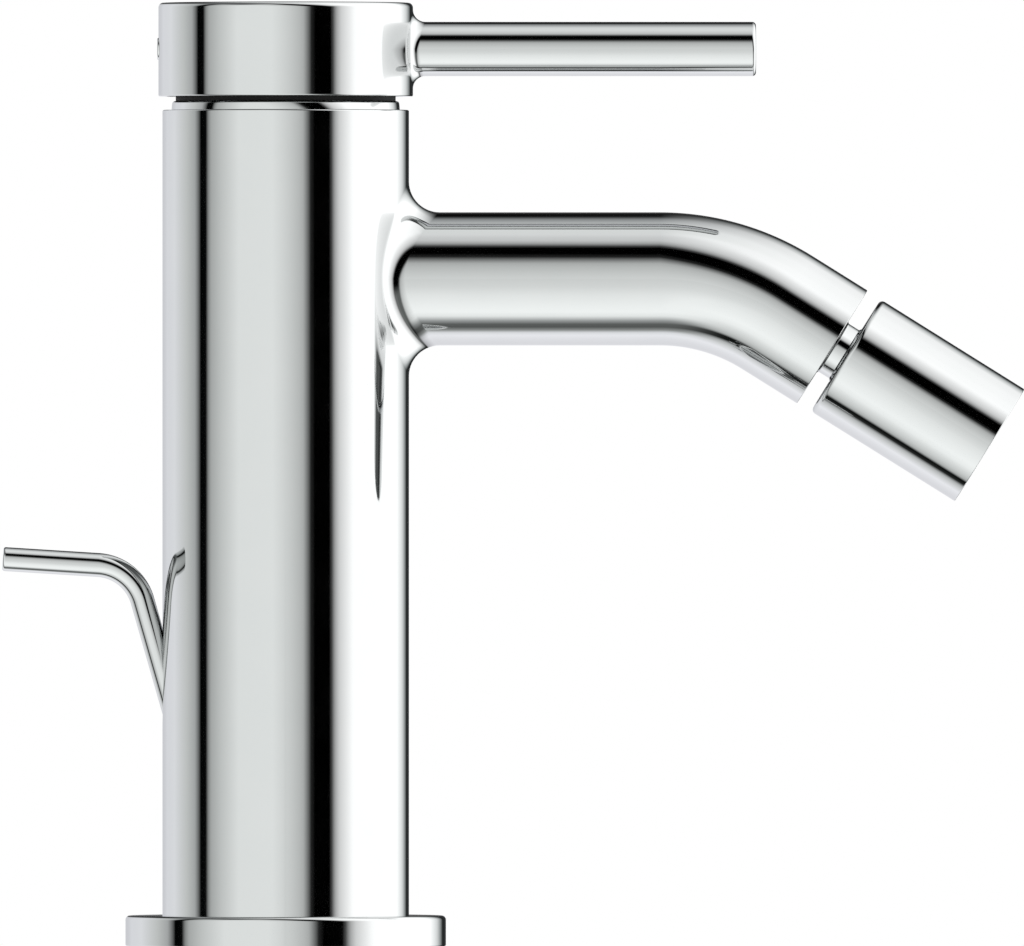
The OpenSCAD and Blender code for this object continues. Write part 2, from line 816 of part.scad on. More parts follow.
// Bent pull rod of the pop-up waste
module lift_rod() {
  bend_angle = 90 - rod_tilt - rod_finger_slope;
  color(chrome) on_rod() {
    rod_z(rod_end_d / 2, rod_low_s, rod_low_s + rod_end_len + eps);
    rod_z(rod_r, rod_low_s + rod_end_len, rod_rise);
    translate([0, 0, rod_rise]) rotate([0, 0, 180]) {
      bend(rod_bend_r, bend_angle) circle(rod_r);
      translate([rod_bend_r * (1 - cos(bend_angle)), 0, rod_bend_r * sin(bend_angle)])
        rotate([0, bend_angle, 0]) translate([0, 0, -lap])
          rotate_extrude() disc_section(rod_r - slip, rod_finger + lap, rod_end_edge);
    }
  }
}

// Plastic liner in which the rod slides
module rod_bush() {
  color(plastic) on_rod() difference() {
    rod_z(bush_r, bush_low_s, bush_top_s);
    rod_z(rod_bore_r, bush_low_s - eps, bush_top_s + eps);
  }
}

// Two studs screwed into the column
module fixing_studs() {
  color(steel) both_sides() on_stud() rod_z(stud_r, -stud_depth, stud_top_z - stud_short);
}

// Horseshoe outline that passes the hoses and the rod
module horseshoe() {
  difference() {
    circle(d = clamp_d);
    translate([clamp_slot_x, -clamp_slot_y]) square([clamp_d, 2 * clamp_slot_y]);
    both_sides() rotate(stud_angle) translate([stud_ring_r, 0]) circle(stud_r + stud_play);
  }
}

// Rubber horseshoe under the deck
module clamp_gasket() {
  color(rubber) translate([0, 0, gasket_z]) linear_extrude(gasket_t) horseshoe();
}

// Steel horseshoe under the rubber one
module clamp_washer() {
  color(steel) translate([0, 0, washer_z]) linear_extrude(washer_t) horseshoe();
}

// Two hexagon nuts under the horseshoe
module fixing_nuts() {
  color(steel) both_sides() on_stud() translate([0, 0, washer_z - nut_h]) difference() {
    cylinder(d = nut_af / cos(30), h = nut_h, $fn = 6);
    rod_z(stud_r + run, -eps, nut_h + eps);
  }
}

body();
base_flange();
base_seal();
neck_ring();
wiper_ring();
cartridge_nut();
cartridge_housing();
cartridge_base();
cartridge_seals();
fixed_disc();
moving_disc();
disc_carrier();
rotor();
pivot_pin();
stem();
handle();
grub_screw();
index_plug();
ball_nipple();
nipple_o_ring();
ball_seat();
swivel_sleeve();
clamp_ring();
aerator_washer();
aerator_screen();
flow_straightener();
aerator_body();
lift_rod();
rod_bush();
fixing_studs();
clamp_gasket();
clamp_washer();
fixing_nuts();
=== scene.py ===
# %% [markdown]
# # A single-lever bidet mixer, dressed for the camera
#
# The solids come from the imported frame. Almost everything that shows on the real tap is mirror chrome,
# and a mirror forgives nothing: a normal that is a few degrees out bends the reflections. So the chromed
# pieces are built again here as clean meshes whose normals are worked out, not averaged, and the pieces
# that stay as they are get a finish of their own.

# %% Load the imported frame
import math

import bmesh
import bpy
import numpy as np
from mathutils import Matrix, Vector


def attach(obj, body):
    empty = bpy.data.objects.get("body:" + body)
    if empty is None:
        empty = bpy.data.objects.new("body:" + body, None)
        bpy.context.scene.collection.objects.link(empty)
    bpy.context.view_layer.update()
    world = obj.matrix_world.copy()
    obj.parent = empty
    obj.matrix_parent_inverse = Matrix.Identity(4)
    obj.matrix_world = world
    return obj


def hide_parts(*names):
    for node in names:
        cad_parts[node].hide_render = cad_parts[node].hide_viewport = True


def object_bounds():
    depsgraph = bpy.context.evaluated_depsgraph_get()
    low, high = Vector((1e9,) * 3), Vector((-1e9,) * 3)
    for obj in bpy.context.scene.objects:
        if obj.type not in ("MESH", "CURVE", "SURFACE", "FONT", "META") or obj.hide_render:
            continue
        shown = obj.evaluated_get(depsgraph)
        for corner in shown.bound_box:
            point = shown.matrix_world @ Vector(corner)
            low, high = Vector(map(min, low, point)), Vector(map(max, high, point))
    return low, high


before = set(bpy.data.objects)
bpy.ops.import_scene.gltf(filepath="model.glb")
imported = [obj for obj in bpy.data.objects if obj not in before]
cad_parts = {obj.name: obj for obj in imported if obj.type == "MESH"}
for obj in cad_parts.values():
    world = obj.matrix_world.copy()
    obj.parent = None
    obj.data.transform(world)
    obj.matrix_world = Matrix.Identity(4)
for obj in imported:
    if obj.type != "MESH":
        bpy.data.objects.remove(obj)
cad_low, cad_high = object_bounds()
MM = 0.001


def new_object(name, data):
    """A new object in the scene."""
    made = bpy.data.objects.new(name, data)
    bpy.context.scene.collection.objects.link(made)
    return made


# %% [markdown]
# ## Camera
# The photograph looks straight at the tap's side, level, and its parallel edges stay parallel, so
# the camera is far away with a very long lens. The frame's width on the object gives the distance.

# %% Camera
FRAME_WIDTH = 166.16 * MM
FRAME_CENTRE = Vector((36.72 * MM, 0, 76.8 * MM))
LENS, SENSOR, FAR_CLIP = 1500.0, 36.0, 50.0

camera_data = bpy.data.cameras.new("side_camera")
camera_data.lens, camera_data.sensor_width = LENS, SENSOR
camera_data.clip_end = FAR_CLIP
camera = new_object("side_camera", camera_data)
camera.location = FRAME_CENTRE - Vector((0, FRAME_WIDTH * LENS / SENSOR, 0))
camera.rotation_euler = (math.radians(90), 0, 0)
bpy.context.scene.camera = camera
bpy.context.scene.view_settings.view_transform = "Standard"
print("camera distance", round((camera.location - FRAME_CENTRE).length, 3), "m")

# %% [markdown]
# ## Two small helpers
# Colours are written as sRGB hex, as in a paint chart, and one function makes them linear. Another adds
# a node with its settings and its links, which keeps each material short.

# %% Colour and node helpers
def paint(hex_code):
    """Linear RGBA of an sRGB hex colour."""
    parts = [int(hex_code[i:i + 2], 16) / 255 for i in (1, 3, 5)]
    return [c / 12.92 if c <= 0.04045 else ((c + 0.055) / 1.055) ** 2.4 for c in parts] + [1.0]


def add(tree, kind, links=None, **settings):
    """A new node of that kind. links holds a socket or a constant for each input."""
    node = tree.nodes.new(kind)
    for name, value in settings.items():
        setattr(node, name, value)
    for name, value in (links or {}).items():
        if isinstance(value, bpy.types.NodeSocket):
            tree.links.new(value, node.inputs[name])
        else:
            node.inputs[name].default_value = value
    return node


print("the grey #808080 is", round(paint("#808080")[0], 3), "in linear light")

# %% [markdown]
# ## The studio
# Chrome has no colour of its own: it shows the studio. The picture was lit by a large soft panel in front,
# edged by a black flag to its upper right, with a white wall to the right, a grey ceiling, and a thin black
# edge where the panel ends on the left and below. Lamps and cards could be set up round the tap, but a
# world is easier to tune, so the world holds that studio. It is laid out as a mirror ball would show it
# from the front: across is X, up is Z, and the rim is what stands behind.
# Only reflections see it. The camera sees plain white, and matt surfaces get even light.

# %% Directions on the mirror ball
world = bpy.data.worlds.new("studio")
world.use_nodes = True
bpy.context.scene.world = world
sky = world.node_tree
sky.nodes.clear()

toward = add(sky, "ShaderNodeTexCoord").outputs["Generated"]
half_way = add(sky, "ShaderNodeVectorMath", {0: toward, 1: (0, 1, 0)}, operation="SUBTRACT").outputs[0]
ball = add(sky, "ShaderNodeVectorMath", {0: half_way}, operation="NORMALIZE").outputs[0]
ball_xyz = add(sky, "ShaderNodeSeparateXYZ", {0: ball}).outputs
across, up = ball_xyz["X"], ball_xyz["Z"]
disc = add(sky, "ShaderNodeVectorMath", {0: ball, 1: (1, 0, 1)}, operation="MULTIPLY").outputs[0]
rim = add(sky, "ShaderNodeVectorMath", {0: disc}, operation="LENGTH").outputs["Value"]
compass = add(sky, "ShaderNodeVectorMath", {0: disc}, operation="NORMALIZE").outputs[0]
compass_xyz = add(sky, "ShaderNodeSeparateXYZ", {0: compass}).outputs
aside, rise = compass_xyz["X"], compass_xyz["Z"]
print("directions take", len(sky.nodes), "nodes")

# %% Edges of the flag
# Each edge is a line across the mirror ball, and the upper one bows outward. Below the middle the flag
# hangs more upright.
FLAG_FOOT, FLAG_HEAD, HEAD_BOW, FLAG_UPRIGHT = (0.857, 0, 0.54), (0.806, 0, 0.62), -0.64, 0.35
below = add(sky, "ShaderNodeMapRange", {"Value": up, "From Max": -1.0, "To Max": FLAG_UPRIGHT}).outputs[0]
foot_line = add(sky, "ShaderNodeVectorMath", {0: ball, 1: FLAG_FOOT},
                operation="DOT_PRODUCT").outputs["Value"]
head_line = add(sky, "ShaderNodeVectorMath", {0: ball, 1: FLAG_HEAD},
                operation="DOT_PRODUCT").outputs["Value"]
corner = add(sky, "ShaderNodeMath", {0: across, 1: up}, operation="MULTIPLY").outputs[0]
bowed = add(sky, "ShaderNodeMath", {0: corner, 1: HEAD_BOW, 2: head_line},
            operation="MULTIPLY_ADD").outputs[0]
foot = add(sky, "ShaderNodeMath", {0: foot_line, 1: below}, operation="ADD").outputs[0]
head = add(sky, "ShaderNodeMath", {0: bowed, 1: below}, operation="ADD").outputs[0]
print("flag edges bow by", HEAD_BOW, "and turn upright by", FLAG_UPRIGHT)

# %% Zones of the studio
# A zone grows from 0 to 1 between two places. The studio's upper left corner is unlit.
zone = {}
for name, (measure, start, full, ease) in {
        "overhead": (aside, 0.676, 0.0, "LINEAR"), "underneath": (rise, 0.0, -1.0, "SMOOTHSTEP"),
        "low_left": (aside, -0.05, -0.4, "SMOOTHSTEP"), "left": (aside, -0.15, -0.5, "SMOOTHSTEP"),
        "raised": (rise, 0.1, 0.35, "SMOOTHSTEP"), "not_far_left": (aside, -0.85, -0.65, "SMOOTHSTEP"),
        "outer": (rim, 0.3, 0.55, "SMOOTHSTEP"), "thin_cloth": (up, -0.05, -0.17, "SMOOTHSTEP"),
        "flag_foot": (foot, -0.10, 0.25, "LINEAR"), "flag_head": (head, 0.25, 0.45, "LINEAR"),
        "past_flag": (head, 0.24, 0.27, "LINEAR")}.items():
    zone[name] = add(sky, "ShaderNodeMapRange", {"Value": measure, "From Min": start, "From Max": full},
                     interpolation_type=ease).outputs[0]
unlit = zone["left"]
for name in ("raised", "not_far_left", "outer"):
    unlit = add(sky, "ShaderNodeMath", {0: unlit, 1: zone[name]}, operation="MULTIPLY").outputs[0]
print("zones:", ", ".join(zone))

# %% [markdown]
# Each part of the studio is a ramp of greys: the panels, the wall and the ceiling from the middle of the
# mirror ball to its rim, the flag across its two edges. The panel's lower edge is soft under the middle
# and sharper towards the left, where the slanting head of the tap mirrors it.

# %% Parts of the studio
studio_parts = {
    "panel_left": (rim, [
        (0.0, "#DADCDB"), (0.38, "#D8DAD9"), (0.52, "#BCBEBD"), (0.60, "#A3A5A4"), (0.622, "#848685"),
        (0.643, "#060707"), (0.688, "#020303"), (0.735, "#A0A2A2"), (0.80, "#BABCBB"), (0.90, "#D2D3D6"),
        (0.96, "#C8C9CD"), (1.0, "#A8A9AD")]),
    "panel_below": (rim, [
        (0.0, "#D6D8D7"), (0.12, "#DADCDB"), (0.25, "#E6E8E7"), (0.40, "#ECEEED"), (0.50, "#EEF0EF"),
        (0.56, "#E2E4E3"), (0.63, "#949696"), (0.68, "#5A5C5B"), (0.725, "#525453"), (0.77, "#888A89"),
        (0.81, "#D6D7DA"), (0.85, "#E4E4E8"), (0.95, "#D0D0D4"), (1.0, "#C0C0C4")]),
    "panel_low_left": (rim, [
        (0.0, "#D6D8D7"), (0.12, "#DADCDB"), (0.25, "#E6E8E7"), (0.40, "#F0F2F1"), (0.47, "#EAECEB"),
        (0.53, "#D8DAD9"), (0.59, "#C6C8C7"), (0.64, "#ACAEAD"), (0.67, "#101211"), (0.722, "#101211"),
        (0.76, "#AEB0B0"), (0.80, "#CBCCCD"), (0.86, "#E6E6EA"), (0.95, "#D0D0D4"), (1.0, "#C0C0C4")]),
    "wall_right": (rim, [
        (0.0, "#FFFFFF"), (0.90, "#FFFFFF"), (0.93, "#DEE0E0"), (0.945, "#C8CACA"), (0.962, "#909494"),
        (0.978, "#161818"), (1.0, "#2E3031")]),
    "ceiling": (rim, [
        (0.50, "#EEEFEF"), (0.57, "#EEEFEF"), (0.62, "#E4E5E5"), (0.66, "#E2E3E3"), (0.70, "#D5D7D6"),
        (0.78, "#CCCECE"), (0.84, "#A8AAAA"), (0.88, "#8C8E8F"), (0.925, "#303232"), (0.94, "#0A0A0A"),
        (0.97, "#0A0A0A"), (1.0, "#484848")]),
    "flag_foot": (zone["flag_foot"], [
        (0.03, "#FFFFFF"), (0.21, "#F4F4F4"), (0.41, "#E4E4E4"), (0.56, "#D4D4D4"), (0.64, "#C5C5C5"),
        (0.72, "#8A8A8A"), (0.79, "#282828"), (0.87, "#000000")]),
    "flag_head": (zone["flag_head"], [
        (0.19, "#000000"), (0.27, "#444444"), (0.395, "#A6A6A6"), (0.525, "#CCCCCC"), (0.655, "#DCDCDC"),
        (0.785, "#EAEAEA"), (0.92, "#FAFAFA"), (1.0, "#FFFFFF")]),
}
studio = {}
for part, (place, stops) in studio_parts.items():
    ramp = add(sky, "ShaderNodeValToRGB", {"Fac": place}, label=part)
    ramp.color_ramp.interpolation = "LINEAR"
    for i, (at, shade) in enumerate(stops):
        stop = ramp.color_ramp.elements[i] if i < 2 else ramp.color_ramp.elements.new(at)
        stop.position, stop.color = at, paint(shade)
    studio[part] = ramp.outputs["Color"]
print("studio parts:", ", ".join(studio_parts))

# %% Put the studio together
# The flag's lower cloth is thin enough to look grey.
THIN_CLOTH, UNLIT_WALL = "#666867", "#606262"
for edge in ("flag_foot", "flag_head"):
    studio[edge] = add(sky, "ShaderNodeMix", {"Factor": zone["thin_cloth"],
                                              6: studio[edge], 7: paint(THIN_CLOTH)},
                       data_type="RGBA", blend_type="LIGHTEN").outputs[2]
low_panel = add(sky, "ShaderNodeMix", {"Factor": zone["low_left"], 6: studio["panel_below"],
                                       7: studio["panel_low_left"]}, data_type="RGBA").outputs[2]
panel = add(sky, "ShaderNodeMix", {"Factor": zone["underneath"], 6: studio["panel_left"], 7: low_panel},
            data_type="RGBA").outputs[2]
front = add(sky, "ShaderNodeMix", {"Factor": unlit, 6: panel, 7: paint(UNLIT_WALL)},
            data_type="RGBA").outputs[2]
beyond = add(sky, "ShaderNodeMix", {"Factor": zone["overhead"],
                                    6: studio["wall_right"], 7: studio["ceiling"]},
             data_type="RGBA").outputs[2]
shaded_front = add(sky, "ShaderNodeMix", {"Factor": 1.0, 6: front, 7: studio["flag_foot"]},
                   data_type="RGBA", blend_type="MULTIPLY").outputs[2]
shaded_beyond = add(sky, "ShaderNodeMix", {"Factor": 1.0, 6: beyond, 7: studio["flag_head"]},
                    data_type="RGBA", blend_type="MULTIPLY").outputs[2]
flagged = add(sky, "ShaderNodeMix", {"Factor": zone["past_flag"], 6: shaded_front, 7: shaded_beyond},
              data_type="RGBA").outputs[2]

# Chromium returns about three fifths of the light, so a panel that it shows as white is brighter than paper.
CHROME_GAIN, EVEN_LIGHT = 1.68, 0.8
light_path = add(sky, "ShaderNodeLightPath").outputs
mirrored = add(sky, "ShaderNodeBackground", {"Color": flagged, "Strength": CHROME_GAIN}).outputs[0]
even = add(sky, "ShaderNodeBackground", {"Color": paint("#FFFFFF"), "Strength": EVEN_LIGHT}).outputs[0]
white = add(sky, "ShaderNodeBackground", {"Color": paint("#FFFFFF"), "Strength": 1.0}).outputs[0]
lit = add(sky, "ShaderNodeMixShader", {0: light_path["Is Glossy Ray"], 1: even, 2: mirrored}).outputs[0]
seen = add(sky, "ShaderNodeMixShader", {0: light_path["Is Camera Ray"], 1: lit, 2: white}).outputs[0]
add(sky, "ShaderNodeOutputWorld", {"Surface": seen})
print("the studio takes", len(sky.nodes), "nodes")

# %% [markdown]
# ## Floor and key light
# The tap isn't fitted to anything, so the floor lies just under the lowest piece, the end of the lift rod.
# It is a pale disc that fades out, so that no edge shows, and it keeps the soft shadow of one large lamp.

# %% Floor
FLOOR_DROP, FLOOR_RADIUS, FLOOR_SIDES = 0.5 * MM, 0.9, 96
FADE_START, FADE_END, GRIT_CELL = 0.25, 0.8, 2.5
floor_mesh = bpy.data.meshes.new("studio_floor")
ring = [(FLOOR_RADIUS * math.cos(a), FLOOR_RADIUS * math.sin(a), cad_low.z - FLOOR_DROP)
        for a in np.linspace(0, 2 * math.pi, FLOOR_SIDES, endpoint=False)]
floor_mesh.from_pydata(ring, [], [range(len(ring))])
floor = new_object("studio_floor", floor_mesh)
floor.visible_glossy = False

floor_paint = bpy.data.materials.new("matt_floor_paint")
floor_paint.use_nodes = True
tree = floor_paint.node_tree
tree.nodes.clear()
spot = add(tree, "ShaderNodeTexCoord").outputs["Object"]
far = add(tree, "ShaderNodeVectorMath", {0: spot, 1: (1, 1, 0)}, operation="MULTIPLY").outputs[0]
away = add(tree, "ShaderNodeVectorMath", {0: far}, operation="LENGTH").outputs["Value"]
fade = add(tree, "ShaderNodeMapRange", {"Value": away, "From Min": FADE_START, "From Max": FADE_END},
           interpolation_type="SMOOTHSTEP").outputs[0]
grit = add(tree, "ShaderNodeTexNoise", {"Vector": spot, "Scale": 1000 / GRIT_CELL}).outputs["Fac"]
tone = add(tree, "ShaderNodeMix", {"Factor": grit, 6: paint("#F3F3F1"), 7: paint("#F7F7F6")},
           data_type="RGBA").outputs[2]
matt = add(tree, "ShaderNodeBsdfDiffuse", {"Color": tone}).outputs[0]
clear = add(tree, "ShaderNodeBsdfTransparent").outputs[0]
faded = add(tree, "ShaderNodeMixShader", {0: fade, 1: matt, 2: clear}).outputs[0]
add(tree, "ShaderNodeOutputMaterial", {"Surface": faded})
floor_mesh.materials.append(floor_paint)
print("floor at", round((cad_low.z - FLOOR_DROP) / MM, 2), "mm")

# %% Lamp
LAMP_SIZE, LAMP_WATTS, LAMP_AT, LAMP_AIM = 1.2, 9.0, (-0.5, -0.9, 1.5), Vector((0.02, 0, 0.05))
lamp_data = bpy.data.lights.new("soft_lamp", "AREA")
lamp_data.shape, lamp_data.size, lamp_data.energy = "DISK", LAMP_SIZE, LAMP_WATTS
lamp = new_object("soft_lamp", lamp_data)
lamp.location = LAMP_AT
lamp.rotation_euler = (LAMP_AIM - lamp.location).to_track_quat("-Z", "Y").to_euler()
lamp.visible_glossy = False
print("lamp", round((LAMP_AIM - lamp.location).length, 2), "m from the tap")

# %% [markdown]
# ## Finishes
# Each finish starts from what the real part is made of and how its surface was made. Patterns take their
# scale from a real size: a noise cell of S millimetres needs a texture scale of 1000 / S.
#
# Most of the tap is bright chrome over polished brass. One even roughness would make it a perfect mirror,
# which no handled tap is, so a soft noise dulls it here and there, as wiping does, and a faint ripple is
# left from polishing.

# %% Polished chromium plate
def new_finish(name):
    """An empty material with its node tree and the place on the piece."""
    finish = bpy.data.materials.new(name)
    finish.use_nodes = True
    finish.node_tree.nodes.clear()
    return finish, finish.node_tree, add(finish.node_tree, "ShaderNodeTexCoord").outputs["Object"]


WIPE_CELL, POLISH_CELL = 9.0, 0.7
chrome, tree, spot = new_finish("polished_chromium_plate")
wiping = add(tree, "ShaderNodeTexNoise", {"Vector": spot, "Scale": 1000 / WIPE_CELL, "Detail": 4.0,
                                          "Roughness": 0.6}).outputs["Fac"]
gloss = add(tree, "ShaderNodeMapRange", {"Value": wiping, "From Min": 0.3, "From Max": 0.75,
                                         "To Min": 0.02, "To Max": 0.06}).outputs[0]
tint = add(tree, "ShaderNodeMix", {"Factor": wiping, 6: paint("#CDCECE"), 7: paint("#C9CBCB")},
           data_type="RGBA").outputs[2]
polish = add(tree, "ShaderNodeTexNoise", {"Vector": spot, "Scale": 1000 / POLISH_CELL,
                                          "Detail": 2.0}).outputs["Fac"]
ripple = add(tree, "ShaderNodeBump", {"Height": polish, "Strength": 0.02, "Distance": 0.01 * MM}).outputs[0]
shader = add(tree, "ShaderNodeBsdfPrincipled", {"Base Color": tint, "Metallic": 1.0, "Roughness": gloss,
                                                "Normal": ripple}).outputs[0]
add(tree, "ShaderNodeOutputMaterial", {"Surface": shader})
print("made", chrome.name)

# %% [markdown]
# Bare brass comes from the lathe with fine rings from the tool, and a brown film where hands have been.
# A wave texture draws the rings. Real ones are a third of a millimetre apart, too fine to show, so they
# are drawn coarser. Blender's wave repeats 20 / (2 pi) times per unit at a scale of 1.

# %% Turned brass
TOOL_RING, FILM_CELL, WAVE_UNIT = 2.2, 6.0, 2 * math.pi / 20
brass, tree, spot = new_finish("turned_brass")
rings = add(tree, "ShaderNodeTexWave", {"Vector": spot, "Scale": WAVE_UNIT * 1000 / TOOL_RING,
                                        "Distortion": 1.5, "Detail": 2.0}, bands_direction="Z").outputs["Fac"]
film = add(tree, "ShaderNodeTexNoise", {"Vector": spot, "Scale": 1000 / FILM_CELL,
                                        "Detail": 3.0}).outputs["Fac"]
tint = add(tree, "ShaderNodeMix", {"Factor": film, 6: paint("#C6A769"), 7: paint("#AE8A47")},
           data_type="RGBA").outputs[2]
gloss = add(tree, "ShaderNodeMapRange", {"Value": film, "To Min": 0.2, "To Max": 0.42}).outputs[0]
cut = add(tree, "ShaderNodeBump", {"Height": rings, "Strength": 0.25, "Distance": 0.03 * MM}).outputs[0]
shader = add(tree, "ShaderNodeBsdfPrincipled", {"Base Color": tint, "Metallic": 1.0, "Roughness": gloss,
                                                "Normal": cut}).outputs[0]
add(tree, "ShaderNodeOutputMaterial", {"Surface": shader})
print("made", brass.name)

# %% [markdown]
# The studs, nuts and washer are barrel-plated steel: a cool grey with a soft sparkle, and scuffs where parts
# have rubbed in the barrel. A cell texture gives the sparkle, and a rough noise the scuffs.

# %% Zinc-plated steel
SPANGLE_CELL, SCUFF_CELL = 1.6, 5.0
steel, tree, spot = new_finish("zinc_plated_steel")
spangle = add(tree, "ShaderNodeTexVoronoi", {"Vector": spot,
                                             "Scale": 1000 / SPANGLE_CELL}).outputs["Distance"]
scuff = add(tree, "ShaderNodeTexNoise", {"Vector": spot, "Scale": 1000 / SCUFF_CELL, "Detail": 6.0,
                                         "Roughness": 0.7}).outputs["Fac"]
tint = add(tree, "ShaderNodeMix", {"Factor": scuff, 6: paint("#B0B3B7"), 7: paint("#94979B")},
           data_type="RGBA").outputs[2]
gloss = add(tree, "ShaderNodeMapRange", {"Value": scuff, "From Min": 0.3, "From Max": 0.7,
                                         "To Min": 0.24, "To Max": 0.46}).outputs[0]
barrel = add(tree, "ShaderNodeBump", {"Height": spangle, "Strength": 0.15, "Distance": 0.02 * MM}).outputs[0]
shader = add(tree, "ShaderNodeBsdfPrincipled", {"Base Color": tint, "Metallic": 1.0, "Roughness": gloss,
                                                "Normal": barrel}).outputs[0]
add(tree, "ShaderNodeOutputMaterial", {"Surface": shader})
print("made", steel.name)

# %% [markdown]
# The cartridge's discs are sintered alumina, lapped flat: ivory white, with a sheen and the finest grain.
# One noise serves for the colour, the sheen and the grain, because all three come from the same crystals.

# %% Lapped alumina
GRAIN_CELL = 0.5
ceramic, tree, spot = new_finish("lapped_alumina")
grain = add(tree, "ShaderNodeTexNoise", {"Vector": spot, "Scale": 1000 / GRAIN_CELL,
                                         "Detail": 3.0}).outputs["Fac"]
tint = add(tree, "ShaderNodeMix", {"Factor": grain, 6: paint("#F3EFE4"), 7: paint("#E8E3D6")},
           data_type="RGBA").outputs[2]
gloss = add(tree, "ShaderNodeMapRange", {"Value": grain, "To Min": 0.16, "To Max": 0.3}).outputs[0]
lap = add(tree, "ShaderNodeBump", {"Height": grain, "Strength": 0.1, "Distance": 0.01 * MM}).outputs[0]
shader = add(tree, "ShaderNodeBsdfPrincipled", {"Base Color": tint, "Roughness": gloss, "IOR": 1.76,
                                                "Normal": lap}).outputs[0]
add(tree, "ShaderNodeOutputMaterial", {"Surface": shader})
print("made", ceramic.name)

# %% [markdown]
# The cartridge's housing and the aerator are injection moulded: a milky off-white, with the mould's fine
# spark texture. A wide noise follows the flow of the plastic, and a fine one the mould's surface.

# %% Moulded acetal
SPARK_CELL, FLOW_CELL = 0.3, 8.0
acetal, tree, spot = new_finish("moulded_acetal")
spark = add(tree, "ShaderNodeTexNoise", {"Vector": spot, "Scale": 1000 / SPARK_CELL,
                                         "Detail": 2.0}).outputs["Fac"]
flow = add(tree, "ShaderNodeTexNoise", {"Vector": spot, "Scale": 1000 / FLOW_CELL,
                                        "Detail": 2.0}).outputs["Fac"]
tint = add(tree, "ShaderNodeMix", {"Factor": flow, 6: paint("#E9E9E4"), 7: paint("#DDDDD7")},
           data_type="RGBA").outputs[2]
gloss = add(tree, "ShaderNodeMapRange", {"Value": flow, "To Min": 0.38, "To Max": 0.55}).outputs[0]
mould = add(tree, "ShaderNodeBump", {"Height": spark, "Strength": 0.2, "Distance": 0.02 * MM}).outputs[0]
shader = add(tree, "ShaderNodeBsdfPrincipled", {"Base Color": tint, "Roughness": gloss, "IOR": 1.48,
                                                "Normal": mould}).outputs[0]
add(tree, "ShaderNodeOutputMaterial", {"Surface": shader})
print("made", acetal.name)

# %% [markdown]
# The seals are black rubber from a shot-blasted mould, with a grey bloom of talc in patches. A rubber that
# is black all over reads as a hole in the picture, so the bloom lifts it in places.

# %% Moulded nitrile rubber
PIT_CELL, BLOOM_CELL = 0.5, 7.0
rubber, tree, spot = new_finish("moulded_nitrile_rubber")
pits = add(tree, "ShaderNodeTexNoise", {"Vector": spot, "Scale": 1000 / PIT_CELL,
                                        "Detail": 3.0}).outputs["Fac"]
bloom = add(tree, "ShaderNodeTexNoise", {"Vector": spot, "Scale": 1000 / BLOOM_CELL,
                                         "Detail": 5.0}).outputs["Fac"]
dust = add(tree, "ShaderNodeMapRange", {"Value": bloom, "From Min": 0.4, "From Max": 0.75}).outputs[0]
tint = add(tree, "ShaderNodeMix", {"Factor": dust, 6: paint("#161616"), 7: paint("#2A2928")},
           data_type="RGBA").outputs[2]
gloss = add(tree, "ShaderNodeMapRange", {"Value": bloom, "To Min": 0.55, "To Max": 0.8}).outputs[0]
blast = add(tree, "ShaderNodeBump", {"Height": pits, "Strength": 0.4, "Distance": 0.04 * MM}).outputs[0]
shader = add(tree, "ShaderNodeBsdfPrincipled", {"Base Color": tint, "Roughness": gloss, "IOR": 1.52,
                                                "Specular IOR Level": 0.25, "Normal": blast}).outputs[0]
add(tree, "ShaderNodeOutputMaterial", {"Surface": shader})
print("made", rubber.name)

FINISHES = {"chrome": chrome, "brass": brass, "steel": steel, "ceramic": ceramic, "plastic": acetal,
            "rubber": rubber}

# %% [markdown]
# ## Sections with true normals
# A turned part is a section swept round an axis. Smooth shading would average the normals of a long flat
# and of the small round beside it, and the flat would look bent. So a section is kept as steps, each with
# the normal at both of its ends, and these normals go into the mesh as custom normals.
# A section runs with the material on its left: outward along the foot, up the outside, back along the top.

# %% Section helpers
ROUND_STEP, STRAIGHT = math.radians(9), 1e-6


def unit(v):
    """The same direction with length 1."""
    v = np.asarray(v, float)
    return v / np.linalg.norm(v)


def arc(centre, radius, start, end, inward=False, steps=24):
    """Steps of a round run of a section, from one angle to another in degrees.
    inward is for the wall of a hollow."""
    a = np.radians(np.linspace(start, end, steps + 1))
    way = np.stack([np.cos(a), np.sin(a)], 1)
    spots = np.asarray(centre) + radius * way
    facing = -way if inward else way
    return [(spots[i], facing[i], spots[i + 1], facing[i + 1]) for i in range(steps)]


